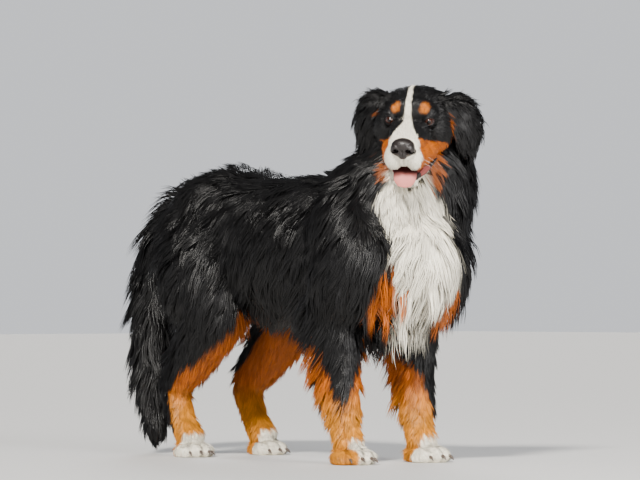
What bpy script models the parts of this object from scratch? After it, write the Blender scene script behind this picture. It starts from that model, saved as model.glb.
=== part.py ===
# A bernese mountain dog that stands with its head turned to its right, as a life-size still model.
# The dog faces -Y and its left side is at +X. Stations and sizes are in centimetres, measured from the
# floor under the middle of the four feet, and the finished model is centred on its box at the end.
import math
import random

import bmesh
import bpy
import numpy as np
from mathutils import Matrix, Vector
from mathutils.bvhtree import BVHTree

CM = 0.01
GAP = 0.035  # between nodes that touch
BODY_TRIANGLES = 1900
CORE_SHARE = 0.5  # how much of the coat's depth the smooth core under the locks holds

# The head's own frame has the same axes as the dog's, and its origin is the middle of the skull.
HEAD_AT = (-4.5, -37.5, 77.0)
HEAD_YAW = -53.5  # degrees, towards the dog's right
HEAD_PITCH = 19.0  # nose down
HEAD_ROLL = 2.8  # left ear down
JAW_JOINT = (0, -1.5, -5.0)
JAW_OPEN = 18.0  # degrees
EYE_SIZE = 1.15
EYE_AT = (4.2, -6.1, 0.95)

# A station is centre x, y, z, half width, half depth and the coat's depth.
TORSO = [
    (0, -33.5, 46.0, 7.5, 8.5, 3.5),
    (0, -28.5, 47.0, 11.5, 13.0, 3.5),
    (0, -21.0, 48.3, 13.0, 15.8, 3.0),
    (0, -10.0, 48.3, 14.0, 15.4, 2.6),
    (0, 3.0, 48.8, 14.6, 14.4, 2.4),
    (0, 15.0, 50.4, 13.6, 13.2, 2.8),
    (0, 26.0, 53.1, 12.2, 12.0, 3.8),
    (0, 34.0, 53.6, 10.8, 10.2, 4.2),
    (0, 38.0, 52.6, 8.5, 7.2, 3.4),
]
NECK = [
    (0, -16.5, 50.5, 11.0, 13.0, 3.0),
    (1.8, -24.0, 56.5, 13.2, 12.6, 4.2),
    (2.0, -28.6, 62.0, 12.2, 11.0, 4.8),
    (1.5, -31.4, 67.5, 10.6, 8.8, 4.8),
    (-0.2, -33.0, 73.0, 8.2, 7.0, 3.0),
]
TAIL = [
    (0, 40.0, 58.0, 3.4, 3.8, 3.6),
    (0, 46.8, 56.2, 2.8, 3.2, 4.8),
    (-0.6, 52.9, 49.6, 2.3, 2.5, 5.4),
    (-1.2, 55.8, 40.0, 1.9, 2.2, 5.2),
    (-1.8, 56.6, 30.0, 1.7, 2.0, 5.0),
    (-2.4, 56.0, 20.0, 1.5, 1.7, 4.4),
    (-3.0, 54.4, 11.5, 1.3, 1.3, 3.4),
    (-3.3, 53.8, 5.8, 1.1, 1.1, 2.6),
]
FORELEG = [
    (11.2, -20.5, 56.0, 3.8, 6.8, 2.7),
    (12.3, -26.0, 47.0, 5.0, 7.6, 2.8),
    (12.5, -23.5, 40.0, 5.3, 7.0, 2.6),
    (11.6, -20.8, 34.0, 4.2, 5.4, 2.0),
    (11.2, -21.6, 27.0, 3.2, 4.0, 1.4),
    (10.9, -22.6, 19.0, 2.5, 3.0, 1.0),
    (10.7, -23.0, 13.0, 2.5, 2.8, 0.8),
    (10.5, -23.6, 8.0, 2.4, 2.6, 0.8),
    (10.4, -24.8, 4.8, 2.7, 2.6, 0.8),
]
# The fringe that hangs behind each foreleg, from the elbow to the wrist.
FEATHER = [
    (12.0, -16.6, 37.0, 2.6, 2.2, 2.8),
    (11.4, -17.6, 28.0, 1.9, 1.8, 3.0),
    (10.9, -19.4, 19.0, 1.4, 1.4, 2.8),
    (10.6, -20.8, 13.0, 1.0, 1.0, 2.0),
]
HINDLEG = [
    (7.5, 30.0, 53.0, 5.5, 9.0, 3.0),
    (10.2, 27.5, 46.0, 6.2, 10.4, 3.0),
    (11.4, 24.0, 39.0, 5.8, 8.8, 3.0),
    (11.6, 22.5, 33.0, 4.9, 6.6, 2.6),
    (11.2, 27.0, 26.5, 3.6, 5.0, 2.2),
    (10.9, 33.0, 20.0, 2.6, 3.6, 1.4),
    (10.7, 36.0, 15.5, 2.3, 3.0, 0.9),
    (10.6, 34.2, 10.5, 2.0, 2.5, 0.8),
    (10.5, 31.8, 6.5, 2.2, 2.5, 0.8),
    (10.5, 30.2, 4.6, 2.6, 2.5, 0.8),
]
# How far each foot stands behind the stations above, with the leg leaning to meet it.
STEP = {("fore", -1): 2.6, ("fore", 1): 0.6, ("hind", -1): 2.2, ("hind", 1): 0.2}
STEP_FROM = 45.0

# In the head's frame. A ball is centre and radii, and one off the middle has a twin on the other side.
SKULL_BALLS = [
    ((0, 1.8, 0.4), (7.2, 7.6, 5.4)),
    ((0, -3.0, 1.8), (5.4, 4.2, 3.3)),
    ((3.2, -4.4, 1.9), (2.5, 2.2, 1.9)),
    ((5.2, -1.2, -2.4), (3.0, 4.9, 4.6)),
    ((2.4, -13.3, -5.4), (2.0, 2.7, 2.8)),
    ((0, -13.7, -5.0), (1.7, 2.3, 2.2)),
    ((3.3, -10.2, -5.4), (1.8, 3.4, 2.3)),
    ((4.3, -7.0, -4.6), (1.6, 3.2, 1.8)),
    ((0, 4.5, -4.5), (6.2, 5.5, 5.5)),
    ((6.1, 1.5, 1.6), (1.8, 2.5, 2.1)),
]
MUZZLE = [
    (0, -3.5, -1.9, 4.7, 3.9, 0.6),
    (0, -7.5, -2.3, 4.0, 3.4, 0.5),
    (0, -11.5, -2.8, 3.8, 3.0, 0.4),
    (0, -14.0, -3.2, 3.5, 2.7, 0.4),
]
JAW = [
    (0, -0.5, -5.6, 4.6, 2.2, 1.2),
    (0, -6.0, -6.6, 3.6, 1.7, 1.0),
    (0, -10.5, -7.1, 2.9, 1.4, 0.9),
    (0, -13.2, -7.2, 2.3, 1.1, 0.8),
]
TONGUE = [
    (0, -3.0, -5.8, 2.2, 0.5, 0),
    (0, -8.0, -5.5, 2.4, 0.5, 0),
    (0, -12.0, -5.5, 2.6, 0.45, 0),
    (0, -14.3, -6.0, 2.4, 0.4, 0),
    (0, -15.3, -6.9, 1.8, 0.35, 0),
]
LIP = [
    (1.6, -14.2, -6.2, 0.6, 0.6, 0),
    (2.8, -11.5, -5.9, 0.6, 0.7, 0),
    (3.7, -8.0, -5.5, 0.65, 0.75, 0),
    (4.5, -4.5, -5.0, 0.7, 0.8, 0),
    (5.0, -2.0, -4.6, 0.7, 0.8, 0),
]
NOSE_BALLS = [
    ((0, -15.5, -2.2), (2.6, 1.8, 1.8)),
    ((1.25, -15.9, -2.7), (1.4, 1.4, 1.5)),
    ((0, -15.9, -3.8), (1.2, 1.3, 1.3)),
]
NOSTRIL = ((1.2, -17.2, -2.8), (0.55, 1.1, 0.48))
LID_GROW = 0.32  # how far the lids stand over the eyeball
EYE_OPENING = (1.15, 1.2, 0.74)
EYE_TURN = 24.0  # degrees outward
EYE_SLANT = 8.0  # degrees, outer corner up
EAR = [
    (4.8, 2.2, 2.8, 3.4),
    (7.4, 1.6, 3.4, 4.0),
    (9.5, 1.8, 1.8, 4.5),
    (10.7, 2.0, -0.9, 4.6),
    (11.2, 2.0, -3.8, 4.1),
    (11.2, 2.0, -6.4, 3.1),
    (11.1, 1.9, -8.4, 1.3),
]
EAR_THICKNESS = 0.9
EAR_TURN = 51.0  # degrees from the head's width to the flap's

# A toe is its middle x, y and z from the paw's own place, its three radii and the claw's turn outward.
FORETOES = [
    ((-3.3, -2.6, 1.9), (1.75, 3.1, 1.9), -14),
    ((-1.25, -4.0, 2.1), (1.75, 3.5, 2.1), -4),
    ((1.25, -4.0, 2.1), (1.75, 3.5, 2.1), 4),
    ((3.3, -2.6, 1.9), (1.75, 3.1, 1.9), 14),
]
PAW_AT = {"fore": (10.4, -24.4), "hind": (10.5, 30.8)}
PAW_TURN = 6.0  # degrees outward
PAW_SCALE = {"fore": 1.0, "hind": 0.92}
PAW_TOP = {"fore": 7.2, "hind": 6.6}
PAW_SINK = 0.45  # how far the round of each toe is pressed flat by the floor
# How the coat's locks lie in each part: length, width, thickness, the room each takes, how far past
# the coat's outer surface the tip stands, how early the lock rises (below 1 is early), and the lie as
# a direction that is turned out on each side.
LOCKS = {
    "back": (12.5, 5.4, 1.1, 8.6, 0.2, 0.6, (0.3, 1.0, -0.35)),
    "rump": (10.5, 4.6, 1.2, 6.0, 0.8, 0.7, (0.35, 1.0, -0.5)),
    "flank": (14.0, 5.8, 1.1, 11.0, 0.0, 0.6, (0.0, 0.75, -1.0)),
    "belly": (10.5, 5.0, 1.1, 8.6, 0.6, 0.6, (0.0, 0.7, -0.8)),
    "chest": (12.5, 5.2, 1.2, 8.0, 0.2, 0.6, (0.1, 0.25, -1.0)),
    "ruff": (12.0, 5.2, 1.2, 6.6, 0.3, 0.6, (0.15, 0.4, -1.0)),
    "shoulder": (12.5, 5.4, 1.1, 9.4, 0.0, 0.6, (0.0, 0.45, -1.0)),
    "brisket": (12.0, 4.8, 1.4, 6.0, 5.5, 0.9, (0.0, 0.3, -1.0)),
    "feather": (12.0, 4.4, 1.2, 4.4, 1.8, 0.6, (0.0, 0.4, -1.0)),
    "thigh": (12.5, 5.4, 1.1, 9.0, 0.0, 0.6, (0.0, 0.4, -1.0)),
    "breech": (12.0, 5.0, 1.2, 6.8, 0.6, 0.6, (0.1, 0.5, -1.0)),
    "plume": (13.0, 4.8, 1.3, 6.0, -0.4, 0.55, (0.0, 0.1, -1.0)),
    "ear": (6.5, 3.2, 0.7, 4.0, 0.4, 0.7, (0.1, 0.15, -1.0)),
}
LOCK_SINK = 1.0  # how deep a lock is rooted under the core's surface
EAR_SINK = 0.3
# How far along a lock each ring is, and its share there of the width and the thickness.
LOCK_STEPS = ((0.0, 0.5, 1.0), (0.34, 1.0, 0.95), (0.7, 0.75, 0.65), (1.0, 0.0, 0.0))
SEED = 14
EAR_SEED = 3

CLAW = [
    (0, 0.8, 0.25, 0.34, 0.42, 0),
    (0, -0.5, 0.1, 0.28, 0.34, 0),
    (0, -1.1, -0.55, 0.08, 0.1, 0),
]


def smooth_path(rows, steps=4):
    """More rows on a smooth line through the given ones, so that few stations give a round form."""
    rows = np.array(rows, float)
    padded = np.vstack([2 * rows[0] - rows[1], rows, 2 * rows[-1] - rows[-2]])
    out = []
    for i in range(1, len(padded) - 2):
        a, b, c, d = padded[i - 1 : i + 3]
        for k in range(steps):
            t = k / steps
            bend = (2 * a - 5 * b + 4 * c - d) * t**2 + (3 * b - a - 3 * c + d) * t**3
            out.append(0.5 * (2 * b + (c - a) * t + bend))
    out.append(rows[-1])
    return np.array(out)


def unit(rows):
    return rows / np.linalg.norm(rows, axis=-1, keepdims=True)


def tube(stations, grow=0.0, sides=20, square=2.3, bend=0.0, wide=(1, 0, 0), steps=4, ends=(25, 50, 75)):
    """Points and faces of a closed tube with round ends, grown by a share of its coat.

    bend pulls the middle of the width along the depth, which cups a flat form such as an ear.
    """
    rows = smooth_path(stations, steps)
    centres = rows[:, :3]
    halves = np.maximum(rows[:, 3:5] + grow * rows[:, 5:6], 0.05)
    along = unit(np.gradient(centres, axis=0))
    across = unit(np.array(wide) - (along @ np.array(wide))[:, None] * along)
    deep = np.cross(along, across)
    turn = np.arange(sides) * 2 * math.pi / sides
    outline = np.stack([np.cos(turn), np.sin(turn)], axis=1)
    outline = np.sign(outline) * np.abs(outline) ** (2 / square)
    rings = []

    def ring(i, push, scale):
        x = outline[:, 0] * halves[i, 0] * scale
        z = outline[:, 1] * halves[i, 1] * scale + bend * halves[i, 0] * (1 - outline[:, 0] ** 2) * scale
        middle = centres[i] + along[i] * push
        rings.append(middle + x[:, None] * across[i] + z[:, None] * deep[i])

    last = len(rows) - 1
    first_reach = halves[0].min()
    last_reach = halves[last].min()
    for angle in reversed(ends):
        ring(0, -first_reach * math.sin(math.radians(angle)), math.cos(math.radians(angle)))
    for i in range(last + 1):
        ring(i, 0, 1)
    for angle in ends:
        ring(last, last_reach * math.sin(math.radians(angle)), math.cos(math.radians(angle)))
    first_pole = rings[0].mean(axis=0) - along[0] * 0.04 * first_reach
    last_pole = rings[-1].mean(axis=0) + along[last] * 0.04 * last_reach
    poles = [first_pole, last_pole]
    points = np.vstack([*rings, *poles])
    faces = []
    for r in range(len(rings) - 1):
        for s in range(sides):
            a, b = r * sides + s, r * sides + (s + 1) % sides
            faces.append((a, a + sides, b + sides, b))
    start, end = len(points) - 2, len(points) - 1
    top = (len(rings) - 1) * sides
    for s in range(sides):
        faces.append((start, s, (s + 1) % sides))
        faces.append((end, top + (s + 1) % sides, top + s))
    return points, faces


def ball(centre, radii, sides=16, grow=0.0):
    """Points and faces of an ellipsoid."""
    centre, radii = np.array(centre, float), np.array(radii, float) + grow
    points, faces = [centre + (0, 0, radii[2])], []
    rings = sides // 2 - 1
    for r in range(1, rings + 1):
        tilt = math.pi * r / (rings + 1)
        for s in range(sides):
            turn = 2 * math.pi * s / sides
            way = (math.sin(tilt) * math.cos(turn), math.sin(tilt) * math.sin(turn), math.cos(tilt))
            points.append(centre + radii * way)
    points.append(centre - (0, 0, radii[2]))
    last = len(points) - 1
    for s in range(sides):
        t = (s + 1) % sides
        faces.append((0, 1 + s, 1 + t))
        faces.append((last, last - sides + t, last - sides + s))
        for r in range(rings - 1):
            a, b = 1 + r * sides + s, 1 + r * sides + t
            faces.append((a, a + sides, b + sides, b))
    return np.array(points), faces


def joined(shapes):
    """Several shapes' points and faces as one list of each."""
    points, faces = [], []
    count = 0
    for some, quads in shapes:
        points.append(some)
        faces += [tuple(i + count for i in face) for face in quads]
        count += len(some)
    return np.vstack(points), faces


def new_object(name, shape, place=None):
    points, faces = shape
    mesh = bpy.data.meshes.new(name)
    mesh.from_pydata((points * CM).tolist(), [], faces)
    if place is not None:
        mesh.transform(place)
    obj = bpy.data.objects.new(name, mesh)
    bpy.context.scene.collection.objects.link(obj)
    work = bmesh.new()
    work.from_mesh(mesh)
    bmesh.ops.recalc_face_normals(work, faces=work.faces)
    work.to_mesh(mesh)
    work.free()
    return obj


def apply_modifiers(obj):
    bpy.context.view_layer.update()
    made = bpy.data.meshes.new_from_object(obj.evaluated_get(bpy.context.evaluated_depsgraph_get()))
    obj.modifiers.clear()
    old, obj.data = obj.data, made
    bpy.data.meshes.remove(old)


def fused(name, shapes, voxel, rounds, triangles, place=None):
    """One smooth closed mesh round several shapes, with about that many triangles."""
    obj = new_object(name, joined(shapes), place)
    remesh = obj.modifiers.new("Remesh", "REMESH")
    remesh.mode = "VOXEL"
    remesh.voxel_size = voxel * CM
    smooth = obj.modifiers.new("Smooth", "SMOOTH")
    smooth.factor = 0.5
    smooth.iterations = rounds
    obj.modifiers.new("Triangulate", "TRIANGULATE")
    apply_modifiers(obj)
    if triangles:
        decimate = obj.modifiers.new("Decimate", "DECIMATE")
        decimate.ratio = triangles / len(obj.data.polygons)
        apply_modifiers(obj)
    return obj


def copy_of(obj, name):
    twin = obj.copy()
    twin.data = obj.data.copy()
    twin.name = name
    bpy.context.scene.collection.objects.link(twin)
    return twin


def boolean(obj, other, operation, solver="EXACT"):
    """Cuts, keeps or adds another object, which is used up."""
    modifier = obj.modifiers.new("Boolean", "BOOLEAN")
    modifier.operation = operation
    modifier.object = other
    modifier.solver = solver
    apply_modifiers(obj)
    bpy.data.objects.remove(other)


def block(low, high, turn=(0, 0, 0), about=(0, 0, 0), grow=0.0):
    """A box between two corners, turned about a point by degrees, as a cutter."""
    low, high = np.array(low, float) - grow, np.array(high, float) + grow
    corners = np.array([(i, j, k) for i in (0, 1) for j in (0, 1) for k in (0, 1)])
    points = low + corners * (high - low)
    faces = [(0, 1, 3, 2), (4, 6, 7, 5), (0, 4, 5, 1), (2, 3, 7, 6), (0, 2, 6, 4), (1, 5, 7, 3)]
    spin = Matrix.Rotation(math.radians(turn[2]), 4, "Z") @ Matrix.Rotation(math.radians(turn[1]), 4, "Y")
    spin = spin @ Matrix.Rotation(math.radians(turn[0]), 4, "X")
    centre = Matrix.Translation(Vector(about) * CM)
    return new_object("cutter", (points, faces), centre @ spin @ centre.inverted())


def largest_piece(obj):
    """Keeps only the closed surface with the greatest volume."""
    work = bmesh.new()
    work.from_mesh(obj.data)
    work.faces.ensure_lookup_table()
    seen, groups = set(), []
    for face in work.faces:
        if face.index in seen:
            continue
        group, queue = [], [face]
        seen.add(face.index)
        while queue:
            current = queue.pop()
            group.append(current)
            for edge in current.edges:
                for other in edge.link_faces:
                    if other.index not in seen:
                        seen.add(other.index)
                        queue.append(other)
        groups.append(group)
    if len(groups) > 1:

        def volume(group):
            total = 0
            for face in group:
                for a, b in zip(face.verts[1:-1], face.verts[2:]):
                    total += face.verts[0].co.dot(a.co.cross(b.co))
            return total

        groups.sort(key=volume)
        bmesh.ops.delete(work, geom=[f for group in groups[:-1] for f in group], context="FACES")
    work.to_mesh(obj.data)
    work.free()


def grown(obj, by=GAP):
    """A copy of obj whose surface stands out by a small gap, to cut its neighbours with."""
    twin = copy_of(obj, "cutter")
    mesh = twin.data
    count = len(mesh.vertices)
    points, normals = np.empty(count * 3), np.empty(count * 3)
    mesh.vertices.foreach_get("co", points)
    mesh.vertex_normals.foreach_get("vector", normals)
    mesh.vertices.foreach_set("co", points + normals * by * CM)
    mesh.update()
    return twin


def cut_clear(obj, *others, by=GAP):
    """Cuts obj free of its neighbours by the gap."""
    for other in others:
        boolean(obj, grown(other, by), "DIFFERENCE", "MANIFOLD")
    largest_piece(obj)


def parted(body, name, low, high, turn=(0, 0, 0), about=(0, 0, 0)):
    """Takes what lies inside a turned box off body as a node of its own, with the gap between."""
    node = copy_of(body, name)
    boolean(node, block(low, high, turn, about), "INTERSECT")
    boolean(body, block(low, high, turn, about, GAP), "DIFFERENCE")
    largest_piece(node)
    return node


def head_place():
    spin = Matrix.Rotation(math.radians(HEAD_YAW), 4, "Z")
    spin = spin @ Matrix.Rotation(math.radians(HEAD_PITCH), 4, "X")
    spin = spin @ Matrix.Rotation(math.radians(HEAD_ROLL), 4, "Y")
    return Matrix.Translation(Vector(HEAD_AT) * CM) @ spin


def jaw_place():
    joint = Matrix.Translation(Vector(JAW_JOINT) * CM)
    return head_place() @ joint @ Matrix.Rotation(math.radians(JAW_OPEN), 4, "X") @ joint.inverted()


def paw_place(kind, side):
    x, y = PAW_AT[kind]
    spin = Matrix.Rotation(math.radians(PAW_TURN * side), 4, "Z") @ Matrix.Scale(PAW_SCALE[kind], 4)
    return Matrix.Translation(Vector((x * side, y + STEP[kind, side], -PAW_SINK)) * CM) @ spin


def leg_rows(kind, side, stations=None):
    """The stations of one leg or its fringe, leaning to where its foot stands."""
    rows = []
    for x, y, z, wide, deep, coat in stations or (FORELEG if kind == "fore" else HINDLEG):
        rows.append((x * side, y + STEP[kind, side] * max(0, 1 - z / STEP_FROM), z, wide, deep, coat))
    return rows


def placed(shape, place):
    """A shape's points moved by a matrix, still in centimetres."""
    points, faces = shape
    turn = np.array(place.to_3x3())
    return points @ turn.T + np.array(place.translation) / CM, faces


def body_shapes(grow):
    shapes = [tube(TORSO, grow), tube(NECK, grow), tube(TAIL, grow)]
    for kind in ("fore", "hind"):
        for side in (-1, 1):
            shapes.append(tube(leg_rows(kind, side), grow))
    for side in (-1, 1):
        shapes.append(tube(leg_rows("fore", side, FEATHER), grow, sides=12))
    return shapes


def head_shapes(grow):
    shapes = [tube(MUZZLE, grow, square=2.6)]
    for side in (-1, 1):
        shapes.append(ball((EYE_AT[0] * side, *EYE_AT[1:]), (EYE_SIZE + LID_GROW,) * 3))
    for centre, radii in SKULL_BALLS:
        for side in (-1, 1) if centre[0] else (1,):
            shapes.append(ball((centre[0] * side, *centre[1:]), radii, grow=0.5 * grow))
    return shapes


def eye_place(side):
    """Where an eye sits and which way it looks, in the head."""
    spin = Matrix.Rotation(math.radians(EYE_TURN * side), 4, "Z")
    spin = spin @ Matrix.Rotation(math.radians(-EYE_SLANT * side), 4, "Y")
    return head_place() @ Matrix.Translation(Vector((EYE_AT[0] * side, *EYE_AT[1:])) * CM) @ spin


def ear_shape(side):
    rows = [(x * side, y, z, half, EAR_THICKNESS / 2, 0) for x, y, z, half in EAR]
    turn = math.radians(EAR_TURN)
    wide = (math.cos(turn) * side, math.sin(turn), 0)
    return tube(rows, sides=12, square=2.0, bend=0.22 * side, wide=wide, steps=1, ends=(45,))


def make_paw(kind, side, word):
    """A paw with four toes and a flat sole, and its claws."""
    place = paw_place(kind, side)
    shapes = [tube(leg_rows(kind, side)[-4:], 1.0)]
    for centre, radii, _ in FORETOES:
        shapes.append(placed(ball(centre, radii), place))
    shapes.append(placed(ball((0, 0.6, 1.8), (3.1, 3.0, 2.6)), place))
    shapes.append(placed(ball((0, -1.4, 2.8), (3.0, 3.6, 2.3)), place))
    paw = fused(f"{kind}paw_{word}", shapes, 0.3, 4, 300)
    boolean(paw, block((-60, -60, PAW_TOP[kind]), (60, 60, 30)), "DIFFERENCE")
    boolean(paw, block((-60, -60, -10), (60, 60, 0)), "DIFFERENCE")
    largest_piece(paw)
    for number, (centre, radii, turn) in enumerate(FORETOES, 1):
        tip = Vector(centre) + Vector((0, -radii[1], -0.3))
        out = Matrix.Translation(tip * CM) @ Matrix.Rotation(math.radians(turn), 4, "Z")
        shape = tube(CLAW, sides=5, steps=1, ends=())
        claw = new_object(f"{kind}claw_{word}_{number}", shape, place @ out)
        cut_clear(claw, paw)


def surface_of(obj):
    """A search tree of an object's faces, in metres."""
    work = bmesh.new()
    work.from_mesh(obj.data)
    tree = BVHTree.FromBMesh(work)
    work.free()
    return tree


def scattered(obj, room_at, rng):
    """Points on an object's faces, each with at least its own room round it."""
    obj.data.calc_loop_triangles()
    corners = [[obj.data.vertices[i].co for i in t.vertices] for t in obj.data.loop_triangles]
    areas = [t.area for t in obj.data.loop_triangles]
    kept = []
    for triangle in rng.choices(corners, areas, k=9000):
        u, v = sorted((rng.random(), rng.random()))
        point = triangle[0] * u + triangle[1] * (v - u) + triangle[2] * (1 - v)
        normal = (triangle[1] - triangle[0]).cross(triangle[2] - triangle[0]).normalized()
        room = room_at(point, normal)
        if room and all((point - other).length > 0.5 * (room + wide) for other, _, wide in kept):
            kept.append((point, normal, room))
    return kept


def lock_shape(root, normal, size, reach, surface, sway, sink, grow=0.0):
    """One flat tapered lock that leaves the core at its root and rises along the lie to its tip.

    Its section is a flat lozenge, and its path sways to a side and follows the surface under it, if any.
    """
    length, width, thick, _, _, early, lie = size
    heading = Vector((lie[0] * (1 if root.x > 0 else -1), lie[1], lie[2]))
    at, out = root, normal
    points = []
    past = 0.0
    for along, wide, deep in LOCK_STEPS:
        step = heading - out * heading.dot(out)
        if step.length < 0.05:
            step = Vector((0, 0.3, -1)) - out * out.dot(Vector((0, 0.3, -1)))
        step.normalize()
        at = at + step * (along - past) * length * CM
        if surface:
            at, out, _, _ = surface.find_nearest(at)
        past = along
        across = out.cross(step).normalized()
        lift = along**early * reach - sink * (1 - along) ** 4
        middle = at + (out * lift + across * sway * length * math.sin(math.pi * 1.3 * along)) * CM
        if wide == 0:
            points.append(middle + step * grow * CM)
            continue
        half = across * (width * wide / 2 + grow) * CM
        over = out * (thick * deep / 2 + grow) * CM
        points += [middle - half, middle + over, middle + half, middle - over]
    faces = [(0, 1, 2), (0, 2, 3)]
    for ring in (0, 4):
        for k in range(4):
            a, b = ring + k, ring + (k + 1) % 4
            faces += [(a, a + 4, b), (b, a + 4, b + 4)]
    faces += [(8 + k, 12, 8 + (k + 1) % 4) for k in range(4)]
    return points, faces


def lock_region(name, point, normal):
    """The kind of lock that grows at a point of a node, in the stations' frame, or none."""
    _, y, z = point / CM
    kind = name.split("_")[0]
    if kind == "ear":
        facing_out = normal.dot((point - head_place().translation).normalized()) > 0.4
        return "ear" if facing_out and normal.z < 0.35 else None
    if kind == "tail":
        return "plume"
    if kind == "neck":
        return "ruff" if z < 74 else None
    if kind == "thigh":
        return "breech" if normal.y > 0.3 else "thigh" if abs(normal.x) > 0.3 else None
    if kind == "shank":
        return "breech" if normal.y > 0.35 and z > 19 else None
    if kind == "foreleg":
        return "feather" if normal.y > 0.15 and z > 12 else None
    if kind == "shoulder":
        return "feather" if normal.y > 0.5 and z < 40 else "shoulder"
    if kind == "torso":
        if y < -8 and normal.z < -0.4:
            return "brisket"
        if y < -27 and z < 60:
            return "chest"
        if z > 60 and y > 11:
            return "rump"
        if normal.y > 0.5 and y > 30:
            return "breech"
        if normal.z > 0.35:
            return "back"
        return "belly" if normal.z < -0.3 else "flank"
    return None


def grow_coat(nodes, surface, outside, trees, rng):
    """The locks of some nodes, as points and faces, each one clear of every node but its own."""
    inside = surface_of(surface)
    near = {node.name: surface_of(node) for node in nodes}
    coat = {node.name: [] for node in nodes}

    def region_at(point, normal):
        name = min(near, key=lambda n: near[n].find_nearest(point)[3])
        return name, lock_region(name, point, normal)

    def room_at(point, normal):
        region = region_at(point, normal)[1]
        return LOCKS[region][3] * CM if region else None

    for point, normal, _ in scattered(surface, room_at, rng):
        name, region = region_at(point, normal)
        depth = 0.0
        if outside:
            far = outside.ray_cast(point + normal * 0.0001, normal, 0.06)[3]
            depth = far / CM if far else 1.0
        length = LOCKS[region][0] * rng.uniform(0.85, 1.15)
        sway = rng.choice((-1, 1)) * rng.uniform(0.08, 0.18)
        for bend, share in ((1, 1), (-1, 0.85), (0.2, 0.7), (0, 0.55)):
            size = (length * share, *LOCKS[region][1:])
            free = region == "ear"
            under = None if free else inside
            sink = EAR_SINK if free else LOCK_SINK
            making = (point, normal, size, depth + size[4], under, sway * bend, sink)
            wide = lock_shape(*making, grow=GAP)
            if min(corner.z for corner in wide[0]) < 0.003:
                continue
            tree = BVHTree.FromPolygons(*wide)
            if not any(tree.overlap(other) for key, some in trees.items() if key != name for other in some):
                trees[name].append(tree)
                coat[name].append(lock_shape(*making))
                break
    return coat


def add_locks(node, locks):
    """Joins a node and its locks into one closed surface."""
    group = bpy.data.collections.new("locks")
    bpy.context.scene.collection.children.link(group)
    for points, faces in locks:
        lock = new_object("lock", (np.array(points) / CM, faces))
        bpy.context.scene.collection.objects.unlink(lock)
        group.objects.link(lock)
    modifier = node.modifiers.new("Boolean", "BOOLEAN")
    modifier.operation = "UNION"
    modifier.operand_type = "COLLECTION"
    modifier.collection = group
    modifier.solver = "MANIFOLD"
    apply_modifiers(node)
    for lock in list(group.objects):
        bpy.data.objects.remove(lock)
    bpy.data.collections.remove(group)
    largest_piece(node)


def paint(obj, colour, roughness):
    material = bpy.data.materials.new(obj.name)
    material.use_nodes = True
    shader = material.node_tree.nodes["Principled BSDF"]
    shader.inputs["Base Color"].default_value = (*colour, 1)
    shader.inputs["Roughness"].default_value = roughness
    shader.inputs["Metallic"].default_value = 0
    obj.data.materials.clear()
    obj.data.materials.append(material)


def centre_model():
    """Puts the middle of the model's box over the origin."""
    bpy.context.view_layer.update()
    corners = np.array([o.matrix_world @ v.co for o in bpy.data.objects for v in o.data.vertices])
    low, high = corners.min(axis=0), corners.max(axis=0)
    shift = Matrix.Translation((-(low[0] + high[0]) / 2, -(low[1] + high[1]) / 2, -low[2]))
    for obj in bpy.data.objects:
        obj.data.transform(shift)


BLACK = (0.018, 0.018, 0.02)
FINISH = {
    "tongue": ((0.72, 0.29, 0.3), 0.35),
    "nose": ((0.05, 0.035, 0.032), 0.4),
    "eye": ((0.09, 0.03, 0.012), 0.08),
    "foreclaw": ((0.1, 0.08, 0.07), 0.4),
    "hindclaw": ((0.1, 0.08, 0.07), 0.4),
    "forepaw": ((0.82, 0.79, 0.74), 0.7),
    "hindpaw": ((0.82, 0.79, 0.74), 0.7),
    "shank": ((0.44, 0.14, 0.03), 0.7),
    "hock": ((0.55, 0.24, 0.06), 0.7),
    "foreleg": ((0.44, 0.14, 0.03), 0.7),
}


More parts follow.
